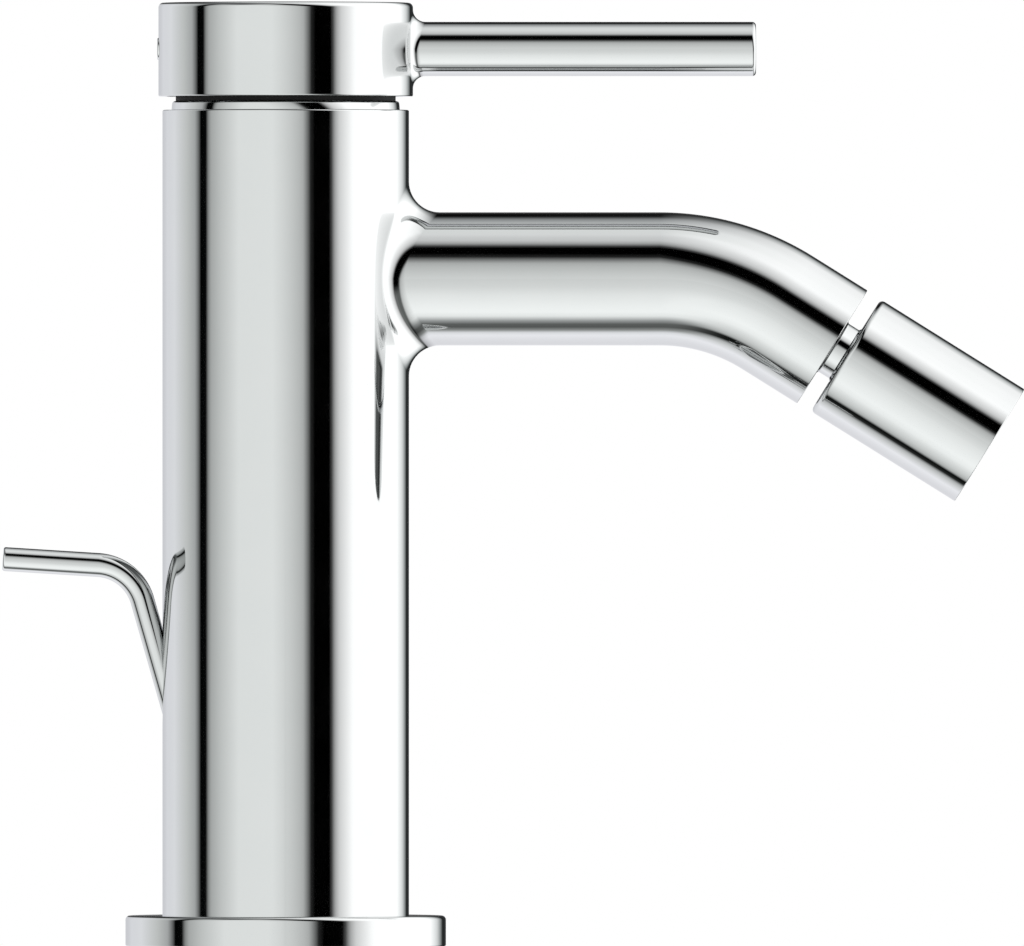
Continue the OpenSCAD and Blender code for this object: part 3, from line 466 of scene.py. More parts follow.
def section(*corners, closed=False):
    """Steps through corners (r, s) or (r, s, edge radius)."""
    spots = [np.array(c[:2], float) for c in corners]
    edges = [c[2] if len(c) > 2 else 0.0 for c in corners]
    count = len(spots)
    runs = count if closed else count - 1
    ways = [unit(spots[(i + 1) % count] - spots[i]) for i in range(runs)]
    faces = [np.array([w[1], -w[0]]) for w in ways]
    trim, rounds = [0.0] * count, [[] for _ in range(count)]
    for i in range(count) if closed else range(1, count - 1):
        before, after = ways[i - 1], ways[i % runs]
        turn = math.atan2(before[0] * after[1] - before[1] * after[0], float(before @ after))
        if edges[i] and abs(turn) > STRAIGHT:
            trim[i] = edges[i] * math.tan(abs(turn) / 2)
            sign = 1 if turn > 0 else -1
            hub = spots[i] - trim[i] * before - sign * edges[i] * faces[i - 1]
            first = math.atan2(faces[i - 1][1], faces[i - 1][0])
            steps = max(3, math.ceil(abs(turn) / ROUND_STEP))
            angles = first + np.linspace(0, turn, steps + 1)
            facing = np.stack([np.cos(angles), np.sin(angles)], 1)
            ring = hub + sign * edges[i] * facing
            rounds[i] = [(ring[k], facing[k], ring[k + 1], facing[k + 1]) for k in range(steps)]
    steps = []
    for i in range(runs):
        j = (i + 1) % count
        straight = (spots[i] + trim[i] * ways[i], faces[i], spots[j] - trim[j] * ways[i], faces[i])
        steps += rounds[i] + [straight]
    return steps


print("a square corner with a rounded edge takes", len(section((0, 0), (9, 0, 1), (9, 9))), "steps")

# %% [markdown]
# ## Skins
# A skin collects quads, each corner with its normal, and welds them into one mesh. An axis is a function
# of the way along it, so the same sweep makes a straight ring, the bent spout and the bent rod.

# %% Skin helpers
X, Y, Z = np.eye(3)
WELD_DIGITS = 4


def upright(s):
    """The column's own axis."""
    return np.array([0, 0, s]), X, Y, Z


class Skin:
    """Quads in millimetres, with a normal for each corner."""

    def __init__(self):
        self.spots, self.facing = [], []

    def grid(self, spots, facing, closed=True):
        """Quads between rows of points."""
        for store, rows in ((self.spots, spots), (self.facing, facing)):
            a = np.asarray(rows, float)
            if closed:
                a = np.concatenate([a, a[:, :1]], 1)
            store.append(np.stack([a[:-1, :-1], a[:-1, 1:], a[1:, 1:], a[1:, :-1]], 2).reshape(-1, 4, 3))
        return self

    def sweep(self, steps, axis=upright, round_at=96):
        """A section swept round an axis, at so many lines or at the given angles."""
        angles = np.asarray(round_at)
        if np.isscalar(round_at):
            angles = np.arange(round_at) * 2 * np.pi / round_at
        c, s = np.cos(angles)[:, None], np.sin(angles)[:, None]
        for a, na, b, nb in steps:
            spots, facing = [], []
            for (r, along), (out, ahead) in ((a, na), (b, nb)):
                hub, e1, e2, t = axis(along)
                way = c * e1 + s * e2
                spots.append(hub + r * way)
                facing.append(out * way + ahead * t)
            self.grid(spots, facing)
        return self

    def mesh(self, name):
        """One welded mesh in metres, with the corner normals set."""
        p, n = np.concatenate(self.spots), np.concatenate(self.facing)
        flip = (np.cross(p[:, 2] - p[:, 0], p[:, 3] - p[:, 1]) * n.mean(1)).sum(1) < 0
        p[flip], n[flip] = p[flip][:, ::-1], n[flip][:, ::-1]
        places = np.round(p.reshape(-1, 3), WELD_DIGITS)
        _, first, index = np.unique(places, axis=0, return_index=True, return_inverse=True)
        index = index.reshape(-1, 4)
        faces, corners = [], []
        for quad, normals in zip(index.tolist(), n):
            keep = [k for k in range(4) if quad[k] != quad[k - 1]]
            if len(keep) > 2 and len(set(quad)) > 2:
                faces.append([quad[k] for k in keep])
                corners += [normals[k] for k in keep]
        mesh = bpy.data.meshes.new(name)
        mesh.from_pydata((p.reshape(-1, 3)[first] * MM).tolist(), [], faces)
        mesh.polygons.foreach_set("use_smooth", [True] * len(faces))
        mesh.normals_split_custom_set([unit(v) for v in corners])
        return mesh

    def piece(self, name):
        """The mesh as an object of the scene."""
        return new_object(name, self.mesh(name))


def fit_in(piece, body, slot, *nodes):
    """Gives the piece its finish, hangs it on its body and lets it stand for its CAD nodes."""
    piece.data.materials.clear()
    piece.data.materials.append(FINISHES[slot])
    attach(piece, body)
    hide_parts(*nodes)
    print(piece.name, len(piece.data.polygons), "faces")


print("finishes at hand:", ", ".join(FINISHES))

# %% [markdown]
# ## Cutting without losing the polish
# Holes are cut with Boolean modifiers. These rebuild the faces and drop the custom normals, so afterwards
# each old corner gets its normal back by its place, and a new corner on the round wall gets the radial one.
# Before that, the specks that the cuts leave are welded away.

# %% Carving helper
SPECK, PLACE_DIGITS, SHARP_ANGLE = 0.002 * MM, 3, math.radians(30)
SAME_SIDE, ALONG_WALL, WALL_REACH = 0.8, 0.99, 0.02


def carve(piece, tools, wall_radius):
    """Joins and cuts tools given as (object, operation), then puts the normals back."""
    kept = {}
    corner_normals = [c.vector.copy() for c in piece.data.corner_normals]
    for loop, normal in zip(piece.data.loops, corner_normals):
        co = np.array(piece.data.vertices[loop.vertex_index].co) / MM
        kept.setdefault(tuple(np.round(co, PLACE_DIGITS)), []).append(normal)
    for tool, operation in tools:
        cut = piece.modifiers.new("cut", "BOOLEAN")
        cut.object, cut.operation, cut.solver = tool, operation, "EXACT"
    shaped = bpy.data.meshes.new_from_object(piece.evaluated_get(bpy.context.evaluated_depsgraph_get()))
    piece.modifiers.clear()
    for tool, _ in tools:
        bpy.data.objects.remove(tool)
    clean = bmesh.new()
    clean.from_mesh(shaped)
    bmesh.ops.remove_doubles(clean, verts=clean.verts, dist=SPECK)
    bmesh.ops.dissolve_degenerate(clean, edges=clean.edges, dist=SPECK)
    bmesh.ops.triangulate(clean, faces=[f for f in clean.faces if len(f.verts) > 4])
    loose = sum(len(e.link_faces) != 2 for e in clean.edges)
    clean.to_mesh(shaped)
    clean.free()
    shaped.polygons.foreach_set("use_smooth", [True] * len(shaped.polygons))
    shaped.set_sharp_from_angle(angle=SHARP_ANGLE)
    normals = [c.vector.copy() for c in shaped.corner_normals]
    for face in shaped.polygons:
        for k in face.loop_indices:
            co = np.array(shaped.vertices[shaped.loops[k].vertex_index].co) / MM
            known = kept.get(tuple(np.round(co, PLACE_DIGITS)), [])
            choices = [n for n in known if n.dot(face.normal) > SAME_SIDE]
            radial = Vector((co[0], co[1], 0)).normalized()
            off_wall = abs(math.hypot(co[0], co[1]) - wall_radius)
            if choices:
                normals[k] = max(choices, key=lambda n: n.dot(face.normal))
            elif off_wall < WALL_REACH and radial.dot(face.normal) > ALONG_WALL:
                normals[k] = radial
    shaped.normals_split_custom_set(normals)
    old = piece.data
    piece.data = shaped
    bpy.data.meshes.remove(old)
    piece.data.name = piece.name
    print(piece.name, "carved by", len(tools), "tools, with", loose, "loose edges")


# %% [markdown]
# ## A branch with a rolled fillet
# The spout leaves the column, and the lever leaves the cap, through a cast fillet. A ball that rolls in the
# corner between two cylinders touches each along a curve. The mesh follows these curves: its lines run up
# the column to the first, round the ball to the second, and on along the branch. No line is left over.

# %% Branch helper
def branch(skin, R, r, ball, height, below, above, along, axis, lines=96, around=140, rolls=14):
    """Column of radius R with a branch of radius r.
    below and above are the column's sections up to and from its wall."""
    psi = np.arange(lines) * 2 * np.pi / lines
    side = np.stack([0 * psi, np.sin(psi), np.cos(psi)], 1)
    reach = r + ball
    hub_x = np.sqrt((R + ball) ** 2 - (reach * np.sin(psi)) ** 2)
    hub = np.stack([hub_x, reach * np.sin(psi), reach * np.cos(psi)], 1)
    flat = hub * (1, 1, 0) / (R + ball)
    bend = np.arccos((flat * side).sum(1))[:, None]
    spots, facing = [], []
    for k in range(rolls + 1):
        t = k / rolls
        way = (np.sin((1 - t) * bend) * flat + np.sin(t * bend) * side) / np.sin(bend)
        spots.append(hub - ball * way + height * Z)
        facing.append(way)
    skin.grid(spots, facing)
    root, tip_ring = spots[0], spots[-1]
    first = along[0][0]
    start, e1, e2, t = axis(first[1])
    skin.grid([tip_ring, start + r * (np.cos(psi)[:, None] * e1 + np.sin(psi)[:, None] * e2)], [side, side])
    skin.sweep(along, axis, round_at=psi)
    foot, head = below[-1][2][1], above[0][0][1]
    quarter = lines // 4
    upper = [k % lines for k in range(-quarter, quarter + 1)]
    lower = [(lines // 2 - k) % lines for k in range(-quarter, quarter + 1)]
    front_az = np.arctan2(root[upper][:, 1], root[upper][:, 0])
    back_az = np.linspace(front_az[-1], 2 * np.pi + front_az[0], around + 1)

    def wall(az):
        return np.stack([np.cos(az), np.sin(az), 0 * az], 1)

    def at(az, z):
        return R * wall(az) + z * Z

    skin.grid([root[upper], at(front_az, head)], [wall(front_az)] * 2, closed=False)
    skin.grid([at(front_az, foot), root[lower]], [wall(front_az)] * 2, closed=False)
    skin.grid([at(back_az, foot), at(back_az, height), at(back_az, head)], [wall(back_az)] * 3, closed=False)
    all_az = np.concatenate([front_az, back_az[1:-1]])
    skin.sweep(below + above, upright, round_at=all_az)
    return skin


# %% [markdown]
# ## Column and spout
# One brass casting. The spout runs level, then turns down through a bend of even radius. Inside, the column
# is a tube closed by a block under the cartridge, with two cast ways for the hoses, two bosses for the
# studs and a slanting guide for the lift rod. The outside and the spout's bore are one skin, and the rest
# is joined and cut afterwards, because it hides inside.

# %% Column and spout
COLUMN_R, SHOULDER_Z, SHOULDER_EDGE, HEAD_BAND = 20.0, 135.7, 0.25, 3.0
SPIGOT_R, SPIGOT_Z, FLANGE_T = 18.2, 0.5, 5.0
CORE_R, BLOCK_Z = 16.5, 96.5
NUT_R, NUT_SEAT_Z, NUT_EDGE, CARTRIDGE_R, CARTRIDGE_Z = 16.5, 130.3, 0.3, 14.1, 112.0
SPOUT_R, SPOUT_BORE_R, SPOUT_Z, SPOUT_BLEND = 10.8, 8.3, 108.3, 5.0
SPOUT_RUN, BEND_R, SPOUT_DROP, SPOUT_TIP = 60.7, 36.0, math.radians(32), 10.5
SPOUT_EDGE, BORE_EDGE, BORE_START = 0.15, 0.2, 16.8
BEND_END = SPOUT_RUN + BEND_R * SPOUT_DROP
SPOUT_END = BEND_END + SPOUT_TIP


def spout_axis(s):
    """Along the spout: level, round the bend, then straight down its slope."""
    a = min(max((s - SPOUT_RUN) / BEND_R, 0.0), SPOUT_DROP)
    hub = np.array([SPOUT_RUN + BEND_R * math.sin(a), 0, SPOUT_Z - BEND_R * (1 - math.cos(a))])
    t = np.array([math.cos(a), 0, -math.sin(a)])
    rest = s - SPOUT_RUN if s < SPOUT_RUN else max(s - BEND_END, 0.0)
    return hub + rest * t, np.array([math.sin(a), 0, math.cos(a)]), Y, t


def bend_stops(radius, out=True, stops=28):
    """Section corners along the spout's bend."""
    way = np.linspace(SPOUT_RUN, BEND_END, stops)
    return [(radius, s) for s in (way if out else way[::-1])]


column_foot = section((0, BLOCK_Z), (CORE_R, BLOCK_Z), (CORE_R, SPIGOT_Z), (SPIGOT_R, SPIGOT_Z),
                      (SPIGOT_R, FLANGE_T), (COLUMN_R, FLANGE_T))
column_head = section((COLUMN_R, SHOULDER_Z - HEAD_BAND), (COLUMN_R, SHOULDER_Z, SHOULDER_EDGE),
                      (NUT_R, SHOULDER_Z, NUT_EDGE), (NUT_R, NUT_SEAT_Z), (CARTRIDGE_R, NUT_SEAT_Z),
                      (CARTRIDGE_R, CARTRIDGE_Z), (0, CARTRIDGE_Z))
spout_wall = section(*bend_stops(SPOUT_R), (SPOUT_R, SPOUT_END, SPOUT_EDGE),
                     (SPOUT_BORE_R, SPOUT_END, BORE_EDGE),
                     *bend_stops(SPOUT_BORE_R, out=False), (SPOUT_BORE_R, BORE_START), (0, BORE_START))
column = branch(Skin(), COLUMN_R, SPOUT_R, SPOUT_BLEND, SPOUT_Z, column_foot, column_head, spout_wall,
                spout_axis).piece("column_and_spout")
print("spout end at", np.round(spout_axis(SPOUT_END)[0], 2))

# %% [markdown]
# The hose inlets carry a real thread. A thread is a bar whose radius follows a saw tooth along a helix, so
# the same helper makes the studs, and as a cutting tool the inlets' female threads.

# %% Threaded bar helper
TOOTH_DEPTH, FLANK, CREST, LEAD_SLOPE = 0.54, 2.6, 0.15, 0.5


def threaded(skin, radius, pitch, low, high, axis, lines=32, per_turn=8, lead=1.0):
    """Bar with a helical thread and a lead-in at both ends."""
    rows = np.linspace(low, high, int(round((high - low) / pitch * per_turn)) + 1)
    az = np.arange(lines) * 2 * np.pi / lines
    turn = (rows[:, None] / pitch - az[None, :] / (2 * np.pi)) % 1.0
    tooth = np.clip(np.abs(turn - 0.5) * FLANK - CREST, 0, 1)
    ends = np.minimum(rows - low, high - rows)[:, None]
    r = radius - TOOTH_DEPTH * pitch * tooth - np.clip(lead - ends, 0, lead) * LEAD_SLOPE
    slope = np.gradient(r, rows, axis=0)
    twist = np.gradient(np.concatenate([r[:, -1:], r, r[:, :1]], 1), az[1], axis=1)[:, 1:-1] / r
    spots, facing = [], []
    for i, s in enumerate(rows):
        hub, e1, e2, t = axis(s)
        out = np.cos(az)[:, None] * e1 + np.sin(az)[:, None] * e2
        round_way = np.cos(az)[:, None] * e2 - np.sin(az)[:, None] * e1
        spots.append(hub + r[i][:, None] * out)
        facing.append(out - slope[i][:, None] * t - twist[i][:, None] * round_way)
    skin.grid(spots, facing)
    for i, sign in ((0, -1), (-1, 1)):
        hub, _, _, t = axis(rows[i])
        skin.grid([spots[i], np.repeat(hub[None], lines, 0)], [np.repeat(sign * t[None], lines, 0)] * 2)
    return skin


# %% [markdown]
# The tools that join and cut are plain bars. Two bars with a line on the same spot confuse the Boolean
# solver, so each bar is turned a little with its radius. A tool that cuts through a face goes past it.

# %% Tools for the inside
PAST = 1.0
INLET_XY, INLET_TUBE_R, INLET_R, INLET_PITCH, INLET_DEPTH = (4.03, 10.23), 6.6, 5.0, 1.0, 12.0
STUD_XY, STUD_R, STUD_PLAY, STUD_TOP = (-9.03, 10.03), 3.0, 0.05, 24.0
ROD_ENTRY, ROD_LEAN = np.array([-20.0, 0, 44.8]), math.radians(16)
ROD_UP = np.array([-math.sin(ROD_LEAN), 0, math.cos(ROD_LEAN)])
ROD_OUT = np.array([math.cos(ROD_LEAN), 0, math.sin(ROD_LEAN)])


def parallel(x, y):
    """An upright axis at one place."""
    return lambda s: (np.array([x, y, s]), X, Y, Z)


def rod_straight(s):
    """The lift rod's straight line, 0 where it enters the column."""
    return ROD_ENTRY + s * ROD_UP, ROD_OUT, Y, ROD_UP


def bar(name, r, low, high, axis, lines=48, turned=0.1):
    """A round tool, turned with its radius so that no line of it lies on a line of another piece."""
    angles = (np.arange(lines) + turned * r) * 2 * np.pi / lines
    return Skin().sweep(section((0, low), (r, low), (r, high), (0, high)), axis, angles).piece(name)


inlet_axes = [parallel(INLET_XY[0], side * INLET_XY[1]) for side in (1, -1)]
stud_axes = [parallel(STUD_XY[0], side * STUD_XY[1]) for side in (1, -1)]
print("inlets at", INLET_XY, "and studs at", STUD_XY, "mm, mirrored")

# %% Inside of the column
GUIDE_R, GUIDE_LOW, GUIDE_HIGH = 4.4, -28, 12
GUIDE_CUT_R, GUIDE_CUT_LOW, GUIDE_CUT_HIGH = 18.2, 1, 90
BUSH_R, BUSH_TOP, ROD_HOLE_R, ROD_HOLE_TOP = 2.85, -10.5, 2.4, 20
TUBE_LIFT, BOSS_R, BOSS_ROOF = 0.02, 5.5, 3
WAY_R, WAY_LOW, WAY_HIGH, INLET_LEAD = 2.6, 10, 80, 0.4
guide = bar("guide", GUIDE_R, GUIDE_LOW, GUIDE_HIGH, rod_straight)
carve(guide, [(bar("inner_wall", GUIDE_CUT_R, GUIDE_CUT_LOW, GUIDE_CUT_HIGH, upright, 96), "INTERSECT")], 0)
tools = [(guide, "UNION")]
for at_inlet, at_stud in zip(inlet_axes, stud_axes):
    tools += [(bar("way", INLET_TUBE_R, SPIGOT_Z + TUBE_LIFT, BLOCK_Z + PAST, at_inlet), "UNION"),
              (bar("boss", BOSS_R, FLANGE_T + PAST, STUD_TOP + BOSS_ROOF, at_stud), "UNION")]
tools += [(bar("bush_hole", BUSH_R, GUIDE_LOW - PAST, BUSH_TOP, rod_straight), "DIFFERENCE"),
          (bar("rod_hole", ROD_HOLE_R, BUSH_TOP - PAST, ROD_HOLE_TOP, rod_straight), "DIFFERENCE")]
for at_inlet, at_stud in zip(inlet_axes, stud_axes):
    thread = threaded(Skin(), INLET_R, INLET_PITCH, SPIGOT_Z - PAST, SPIGOT_Z + INLET_DEPTH, at_inlet,
                      lead=INLET_LEAD)
    tools += [(bar("stud_hole", STUD_R + STUD_PLAY, 0, STUD_TOP, at_stud), "DIFFERENCE"),
              (bar("drilled_way", WAY_R, WAY_LOW, WAY_HIGH, at_inlet), "DIFFERENCE"),
              (thread.piece("inlet_thread"), "DIFFERENCE")]
carve(column, tools, COLUMN_R)
fit_in(column, "fixed", "chrome", "body")

# %% [markdown]
# ## Cap and lever
# The handle is one casting too: a shallow cap and a slim round lever with a soft end. The cap is hollow,
# with a hub inside that takes the cartridge's flat-sided stem, and a hole at the back for the locking screw.
# It is a branch again, and only the three holes are cut.

# %% Cap and lever
CAP_R, CAP_RIM_Z, CAP_TOP_Z, CAP_BORE_R, CAP_CEILING_Z = 20.65, 137.9, 153.1, 19.3, 150.5
CAP_EDGE, TOP_BAND, RIM_EDGE, RIM_BAND, BORE_RIM_EDGE, CEILING_EDGE = 0.8, 0.1, 0.25, 1.0, 0.15, 0.6
HUB_R, HUB_Z, HUB_EDGE = 6.2, 141.0, 0.3
LEVER_R, LEVER_Z, LEVER_START, LEVER_END, LEVER_EDGE, LEVER_BLEND = 4.4, 145.6, 30, 76.3, 0.6, 2.0


def lever_axis(s):
    """Level, out of the cap's front."""
    return np.array([s, 0, LEVER_Z]), Z, Y, X


def screw_axis(s):
    """From the stem out through the back of the cap."""
    return np.array([-s, 0, LEVER_Z]), Z, Y, -X


cap_inside = section((0, HUB_Z), (HUB_R, HUB_Z, HUB_EDGE), (HUB_R, CAP_CEILING_Z, CEILING_EDGE),
                     (CAP_BORE_R, CAP_CEILING_Z, CEILING_EDGE), (CAP_BORE_R, CAP_RIM_Z, BORE_RIM_EDGE),
                     (CAP_R, CAP_RIM_Z, RIM_EDGE), (CAP_R, CAP_RIM_Z + RIM_BAND))
cap_outside = section((CAP_R, CAP_TOP_Z - CAP_EDGE - TOP_BAND), (CAP_R, CAP_TOP_Z, CAP_EDGE), (0, CAP_TOP_Z))
lever_wall = section((LEVER_R, LEVER_START), (LEVER_R, LEVER_END, LEVER_EDGE), (0, LEVER_END))
handle = branch(Skin(), CAP_R, LEVER_R, LEVER_BLEND, LEVER_Z, cap_inside, cap_outside, lever_wall, lever_axis,
                lines=72, around=170, rolls=10).piece("cap_and_lever")
print("lever reaches", LEVER_END, "mm from the cap's middle")

# %% Holes of the cap
STEM_HALF_X, STEM_HALF_Y = 2.6, 3.1
SCREW_HOLE_R, SCREW_HOLE_START, PLUG_HOLE_R, PLUG_HOLE_GAP = 1.5, 1, 1.85, 3
socket = bpy.data.meshes.new("socket")
box = [(x * MM, y * MM, z * MM) for z in (HUB_Z - PAST, CAP_CEILING_Z) for y in (-STEM_HALF_Y, STEM_HALF_Y)
       for x in (-STEM_HALF_X, STEM_HALF_X)]
box_sides = [(0, 2, 3, 1), (4, 5, 7, 6), (0, 1, 5, 4), (2, 6, 7, 3), (0, 4, 6, 2), (1, 3, 7, 5)]
socket.from_pydata(box, [], box_sides)
socket_tool = new_object("socket", socket)
screw_hole = bar("screw_hole", SCREW_HOLE_R, SCREW_HOLE_START, HUB_R + PAST, screw_axis)
plug_hole = bar("plug_hole", PLUG_HOLE_R, HUB_R + PLUG_HOLE_GAP, CAP_R + PAST, screw_axis)
carve(handle, [(socket_tool, "DIFFERENCE"), (screw_hole, "DIFFERENCE"), (plug_hole, "DIFFERENCE")], CAP_R)
fit_in(handle, "lever", "chrome", "handle")

# %% [markdown]
# ## Small chromed parts
# The flange, the ring under the cap and the plug at the back of the cap are turned on a lathe, so each is
# one section. Every edge that shows has the small round that plating needs.

# %% Flange
TRIM_LINES = 192
FLANGE_R, FLANGE_BORE_R, FOOT_EDGE, FLANGE_EDGE, FLANGE_BORE_EDGE = 26, 18.3, 0.3, 0.7, 0.2
SEAL_IN_R, SEAL_OUT_R, SEAL_DEPTH = 20.74, 23.56, 2.2
flange_section = section((FLANGE_BORE_R, 0), (SEAL_IN_R, 0), (SEAL_IN_R, SEAL_DEPTH),
                         (SEAL_OUT_R, SEAL_DEPTH), (SEAL_OUT_R, 0), (FLANGE_R, 0, FOOT_EDGE),
                         (FLANGE_R, FLANGE_T, FLANGE_EDGE), (FLANGE_BORE_R, FLANGE_T, FLANGE_BORE_EDGE),
                         closed=True)
flange = Skin().sweep(flange_section, round_at=TRIM_LINES).piece("round_flange")
fit_in(flange, "fixed", "chrome", "base_flange")

# %% Neck ring
# The ring's outside is crowned, and its crown runs into the round of its top edge.
RING_TOP_Z, RING_FOOT_R, RING_CROWN_R, RING_EDGE = SHOULDER_Z + 1.45, 18.5, 7.0, 0.5
RING_BORE_R, RING_SPIGOT_R, RING_SPIGOT_Z = 13.2, 16.4, 133.3
crown_turn = math.degrees(math.asin((RING_TOP_Z - RING_EDGE - SHOULDER_Z) / (RING_CROWN_R - RING_EDGE)))
crown_reach = (RING_CROWN_R - RING_EDGE) * math.cos(math.radians(crown_turn))
edge_at = (RING_FOOT_R - RING_CROWN_R + crown_reach, RING_TOP_Z - RING_EDGE)
ring_section = section((RING_BORE_R, RING_TOP_Z), (RING_BORE_R, RING_SPIGOT_Z),
                       (RING_SPIGOT_R, RING_SPIGOT_Z), (RING_SPIGOT_R, SHOULDER_Z), (RING_FOOT_R, SHOULDER_Z))
ring_section += arc((RING_FOOT_R - RING_CROWN_R, SHOULDER_Z), RING_CROWN_R, 0, crown_turn)
ring_section += arc(edge_at, RING_EDGE, crown_turn, 90)
ring_section += section((edge_at[0], RING_TOP_Z), (RING_BORE_R, RING_TOP_Z))
neck_ring = Skin().sweep(ring_section, round_at=TRIM_LINES).piece("neck_trim_ring")
fit_in(neck_ring, "fixed", "chrome", "neck_ring")

# %% Plug
PLUG_R, PLUG_BACK, PLUG_FRONT, PLUG_EDGE = 1.8, 18.5, 20.85, 0.25
plug_section = section((0, PLUG_BACK), (PLUG_R, PLUG_BACK), (PLUG_R, PLUG_FRONT, PLUG_EDGE), (0, PLUG_FRONT))
plug = Skin().sweep(plug_section, screw_axis, 48).piece("index_button")
fit_in(plug, "lever", "chrome", "index_plug")

# %% [markdown]
# ## Swivel head
# The aerator's sleeve swings on a ball at the end of the nipple that sits in the spout. Both follow the
# spout's own axis, past its end, so they stay in line with it whatever the bend. The ball, and the hollow
# that the sleeve has for it, are arcs about the ball's centre.

# %% Ball nipple
BALL_AHEAD = 8.8
BALL_S = SPOUT_END + BALL_AHEAD


def head_axis(t):
    """The swivel head's axis, 0 at the ball's centre."""
    return spout_axis(BALL_S + t)


NECK_R, NECK_EDGE, BALL_R, BALL_FRONT, WATER_R = 4.6, 0.5, 8.0, 4.0, 3
NIPPLE_R, NIPPLE_BACK, NIPPLE_EDGE = 8.23, -16.8, 0.4
GROOVE_R, GROOVE_BACK, GROOVE_FRONT = 6.9, -13.8, -11.8
neck_meets = -math.sqrt(BALL_R ** 2 - NECK_R ** 2)
front_r = math.sqrt(BALL_R ** 2 - BALL_FRONT ** 2)
nipple_section = section((WATER_R, BALL_FRONT), (WATER_R, NIPPLE_BACK), (NIPPLE_R, NIPPLE_BACK, NIPPLE_EDGE),
                         (NIPPLE_R, GROOVE_BACK), (GROOVE_R, GROOVE_BACK), (GROOVE_R, GROOVE_FRONT),
                         (NIPPLE_R, GROOVE_FRONT), (NIPPLE_R, -BALL_AHEAD), (NECK_R, -BALL_AHEAD, NECK_EDGE),
                         (NECK_R, neck_meets))
nipple_section += arc((0, 0), BALL_R, math.degrees(math.atan2(neck_meets, NECK_R)),
                      math.degrees(math.atan2(BALL_FRONT, front_r)))
nipple_section += section((front_r, BALL_FRONT), (WATER_R, BALL_FRONT))
nipple = Skin().sweep(nipple_section, head_axis, 96).piece("ball_and_neck")
fit_in(nipple, "fixed", "chrome", "ball_nipple")

# %% Sleeve
SLEEVE_R, HOLLOW_R, SLEEVE_BACK, SLEEVE_FRONT = 10.7, 9.35, -6.2, 21.3
SLEEVE_BACK_EDGE, SLEEVE_FRONT_EDGE = 0.8, 0.15
mouth_r = math.sqrt(HOLLOW_R ** 2 - SLEEVE_BACK ** 2)
sleeve_section = section((mouth_r, SLEEVE_BACK), (SLEEVE_R, SLEEVE_BACK, SLEEVE_BACK_EDGE),
                         (SLEEVE_R, SLEEVE_FRONT, SLEEVE_FRONT_EDGE),
                         (HOLLOW_R, SLEEVE_FRONT, SLEEVE_FRONT_EDGE), (HOLLOW_R, 0))
sleeve_section += arc((0, 0), HOLLOW_R, 0, math.degrees(math.atan2(SLEEVE_BACK, mouth_r)), inward=True)
sleeve = Skin().sweep(sleeve_section, head_axis, 128).piece("swivel_head_sleeve")
fit_in(sleeve, "head", "chrome", "swivel_sleeve")

# %% [markdown]
# ## Lift rod
# A chromed rod that leaves the column at a slant, bends outward into a finger hold, and ends below in a
# turned-down pin for the linkage of the waste. A curve with a bevel would do, but not for the pin and the
# rounded tip, so it is one section swept along a bent axis.

# %% Lift rod
ROD_R, ROD_RISE, ROD_BEND_R, ROD_TURN, ROD_FINGER, ROD_DEPTH = 1.95, 11.75, 8.0, math.radians(70.4), 15.5, 50
PIN_R, PIN_LENGTH, PIN_EDGE, PIN_ROOT, STEP_EDGE, TIP_EDGE, BEND_LINES = 1.5, 18, 0.4, 0.1, 0.15, 0.4, 40
ROD_LOW = -(ROD_ENTRY[2] + ROD_DEPTH) / math.cos(ROD_LEAN)
ROD_BEND_END = ROD_RISE + ROD_BEND_R * ROD_TURN
ROD_TIP, PIN_TOP = ROD_BEND_END + ROD_FINGER, ROD_LOW + PIN_LENGTH


def rod_axis(s):
    """Up the slant, round the bend, then along the finger hold."""
    a = min(max((s - ROD_RISE) / ROD_BEND_R, 0.0), ROD_TURN)
    start = ROD_ENTRY + min(s, ROD_RISE) * ROD_UP
    t = math.cos(a) * ROD_UP - math.sin(a) * ROD_OUT
    bend = ROD_BEND_R * (math.sin(a) * ROD_UP - (1 - math.cos(a)) * ROD_OUT)
    return start + bend + max(s - ROD_BEND_END, 0) * t, math.cos(a) * ROD_OUT + math.sin(a) * ROD_UP, Y, t


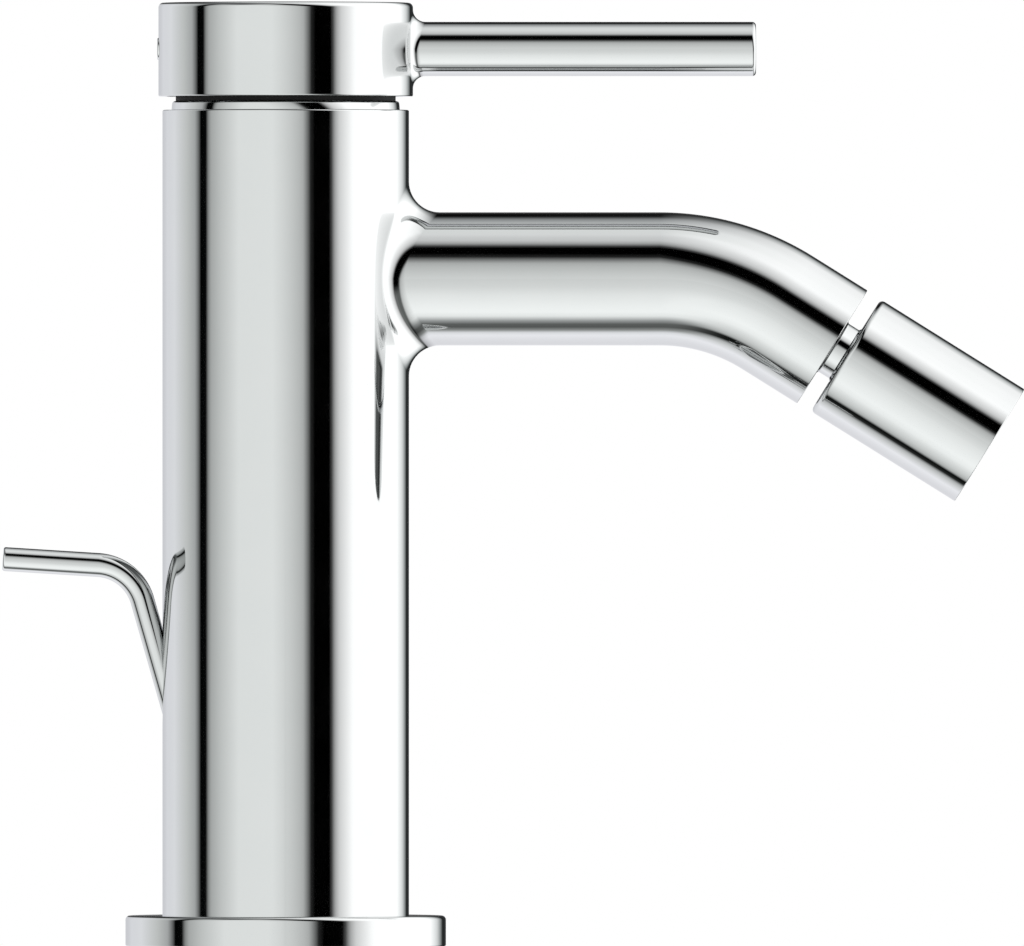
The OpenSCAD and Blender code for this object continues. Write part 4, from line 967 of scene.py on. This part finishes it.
rod_section = section((0, ROD_LOW), (PIN_R, ROD_LOW, PIN_EDGE), (PIN_R, PIN_TOP, PIN_ROOT),
                      (ROD_R, PIN_TOP, STEP_EDGE),
                      *[(ROD_R, s) for s in np.linspace(ROD_RISE, ROD_BEND_END, BEND_LINES)],
                      (ROD_R, ROD_TIP, TIP_EDGE), (0, ROD_TIP))
rod = Skin().sweep(rod_section, rod_axis, 48).piece("pull_rod")
fit_in(rod, "rod", "chrome", "lift_rod")

# %% [markdown]
# ## Fixing set
# Two threaded studs hold a rubber and a steel horseshoe against the deck's underside with hexagon nuts.
# A nut is a hexagon cut by a shallow cone on each face, which gives the curved edges seen on real ones.

# %% Studs
STUD_LOW, STUD_PITCH, STUD_GAP = -45.0, 1.0, 1
studs = Skin()
for at_stud in stud_axes:
    threaded(studs, STUD_R, STUD_PITCH, STUD_LOW, STUD_TOP - STUD_GAP, at_stud)
fit_in(studs.piece("threaded_studs"), "fixed", "steel", "fixing_studs")

# %% Nuts
HEX_LOW, HEX_HIGH, HEX_FLATS, HEX_FACE_R, HEX_CONE, HEX_SPARE = -33.5, -25.5, 10.0, 4.7, 0.65, 0.1
HEX_CORNER = HEX_FLATS / math.sqrt(3)
hex_bore, blank_r = STUD_R + STUD_PLAY, HEX_CORNER + HEX_SPARE
nut_section = section((hex_bore, HEX_LOW), (HEX_FACE_R, HEX_LOW), (blank_r, HEX_LOW + HEX_CONE),
                      (blank_r, HEX_HIGH - HEX_CONE), (HEX_FACE_R, HEX_HIGH), (hex_bore, HEX_HIGH),
                      closed=True)
for name, at_stud in zip(("hexagon_nut_left", "hexagon_nut_right"), stud_axes):
    nut = Skin().sweep(nut_section, at_stud, 48).piece(name)
    prism = bar("hexagon", HEX_CORNER, HEX_LOW - PAST, HEX_HIGH + PAST, at_stud, 6, turned=0)
    carve(nut, [(prism, "INTERSECT")], 0)
    fit_in(nut, "fixed", "steel", "fixing_nuts")

# %% [markdown]
# ## Pieces that stay as they are
# The cartridge, the seals, the horseshoes and the aerator have the right shapes already. They keep them and
# get the finish of their slot.

# %% Finishes of the carried-over nodes
stay = 0
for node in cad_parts.values():
    if node.hide_render:
        continue
    slot_name = node.data.materials[0].name.split(".")[0]
    node.data.materials[0] = FINISHES[slot_name]
    stay += 1
print(stay, "nodes kept with a new finish")
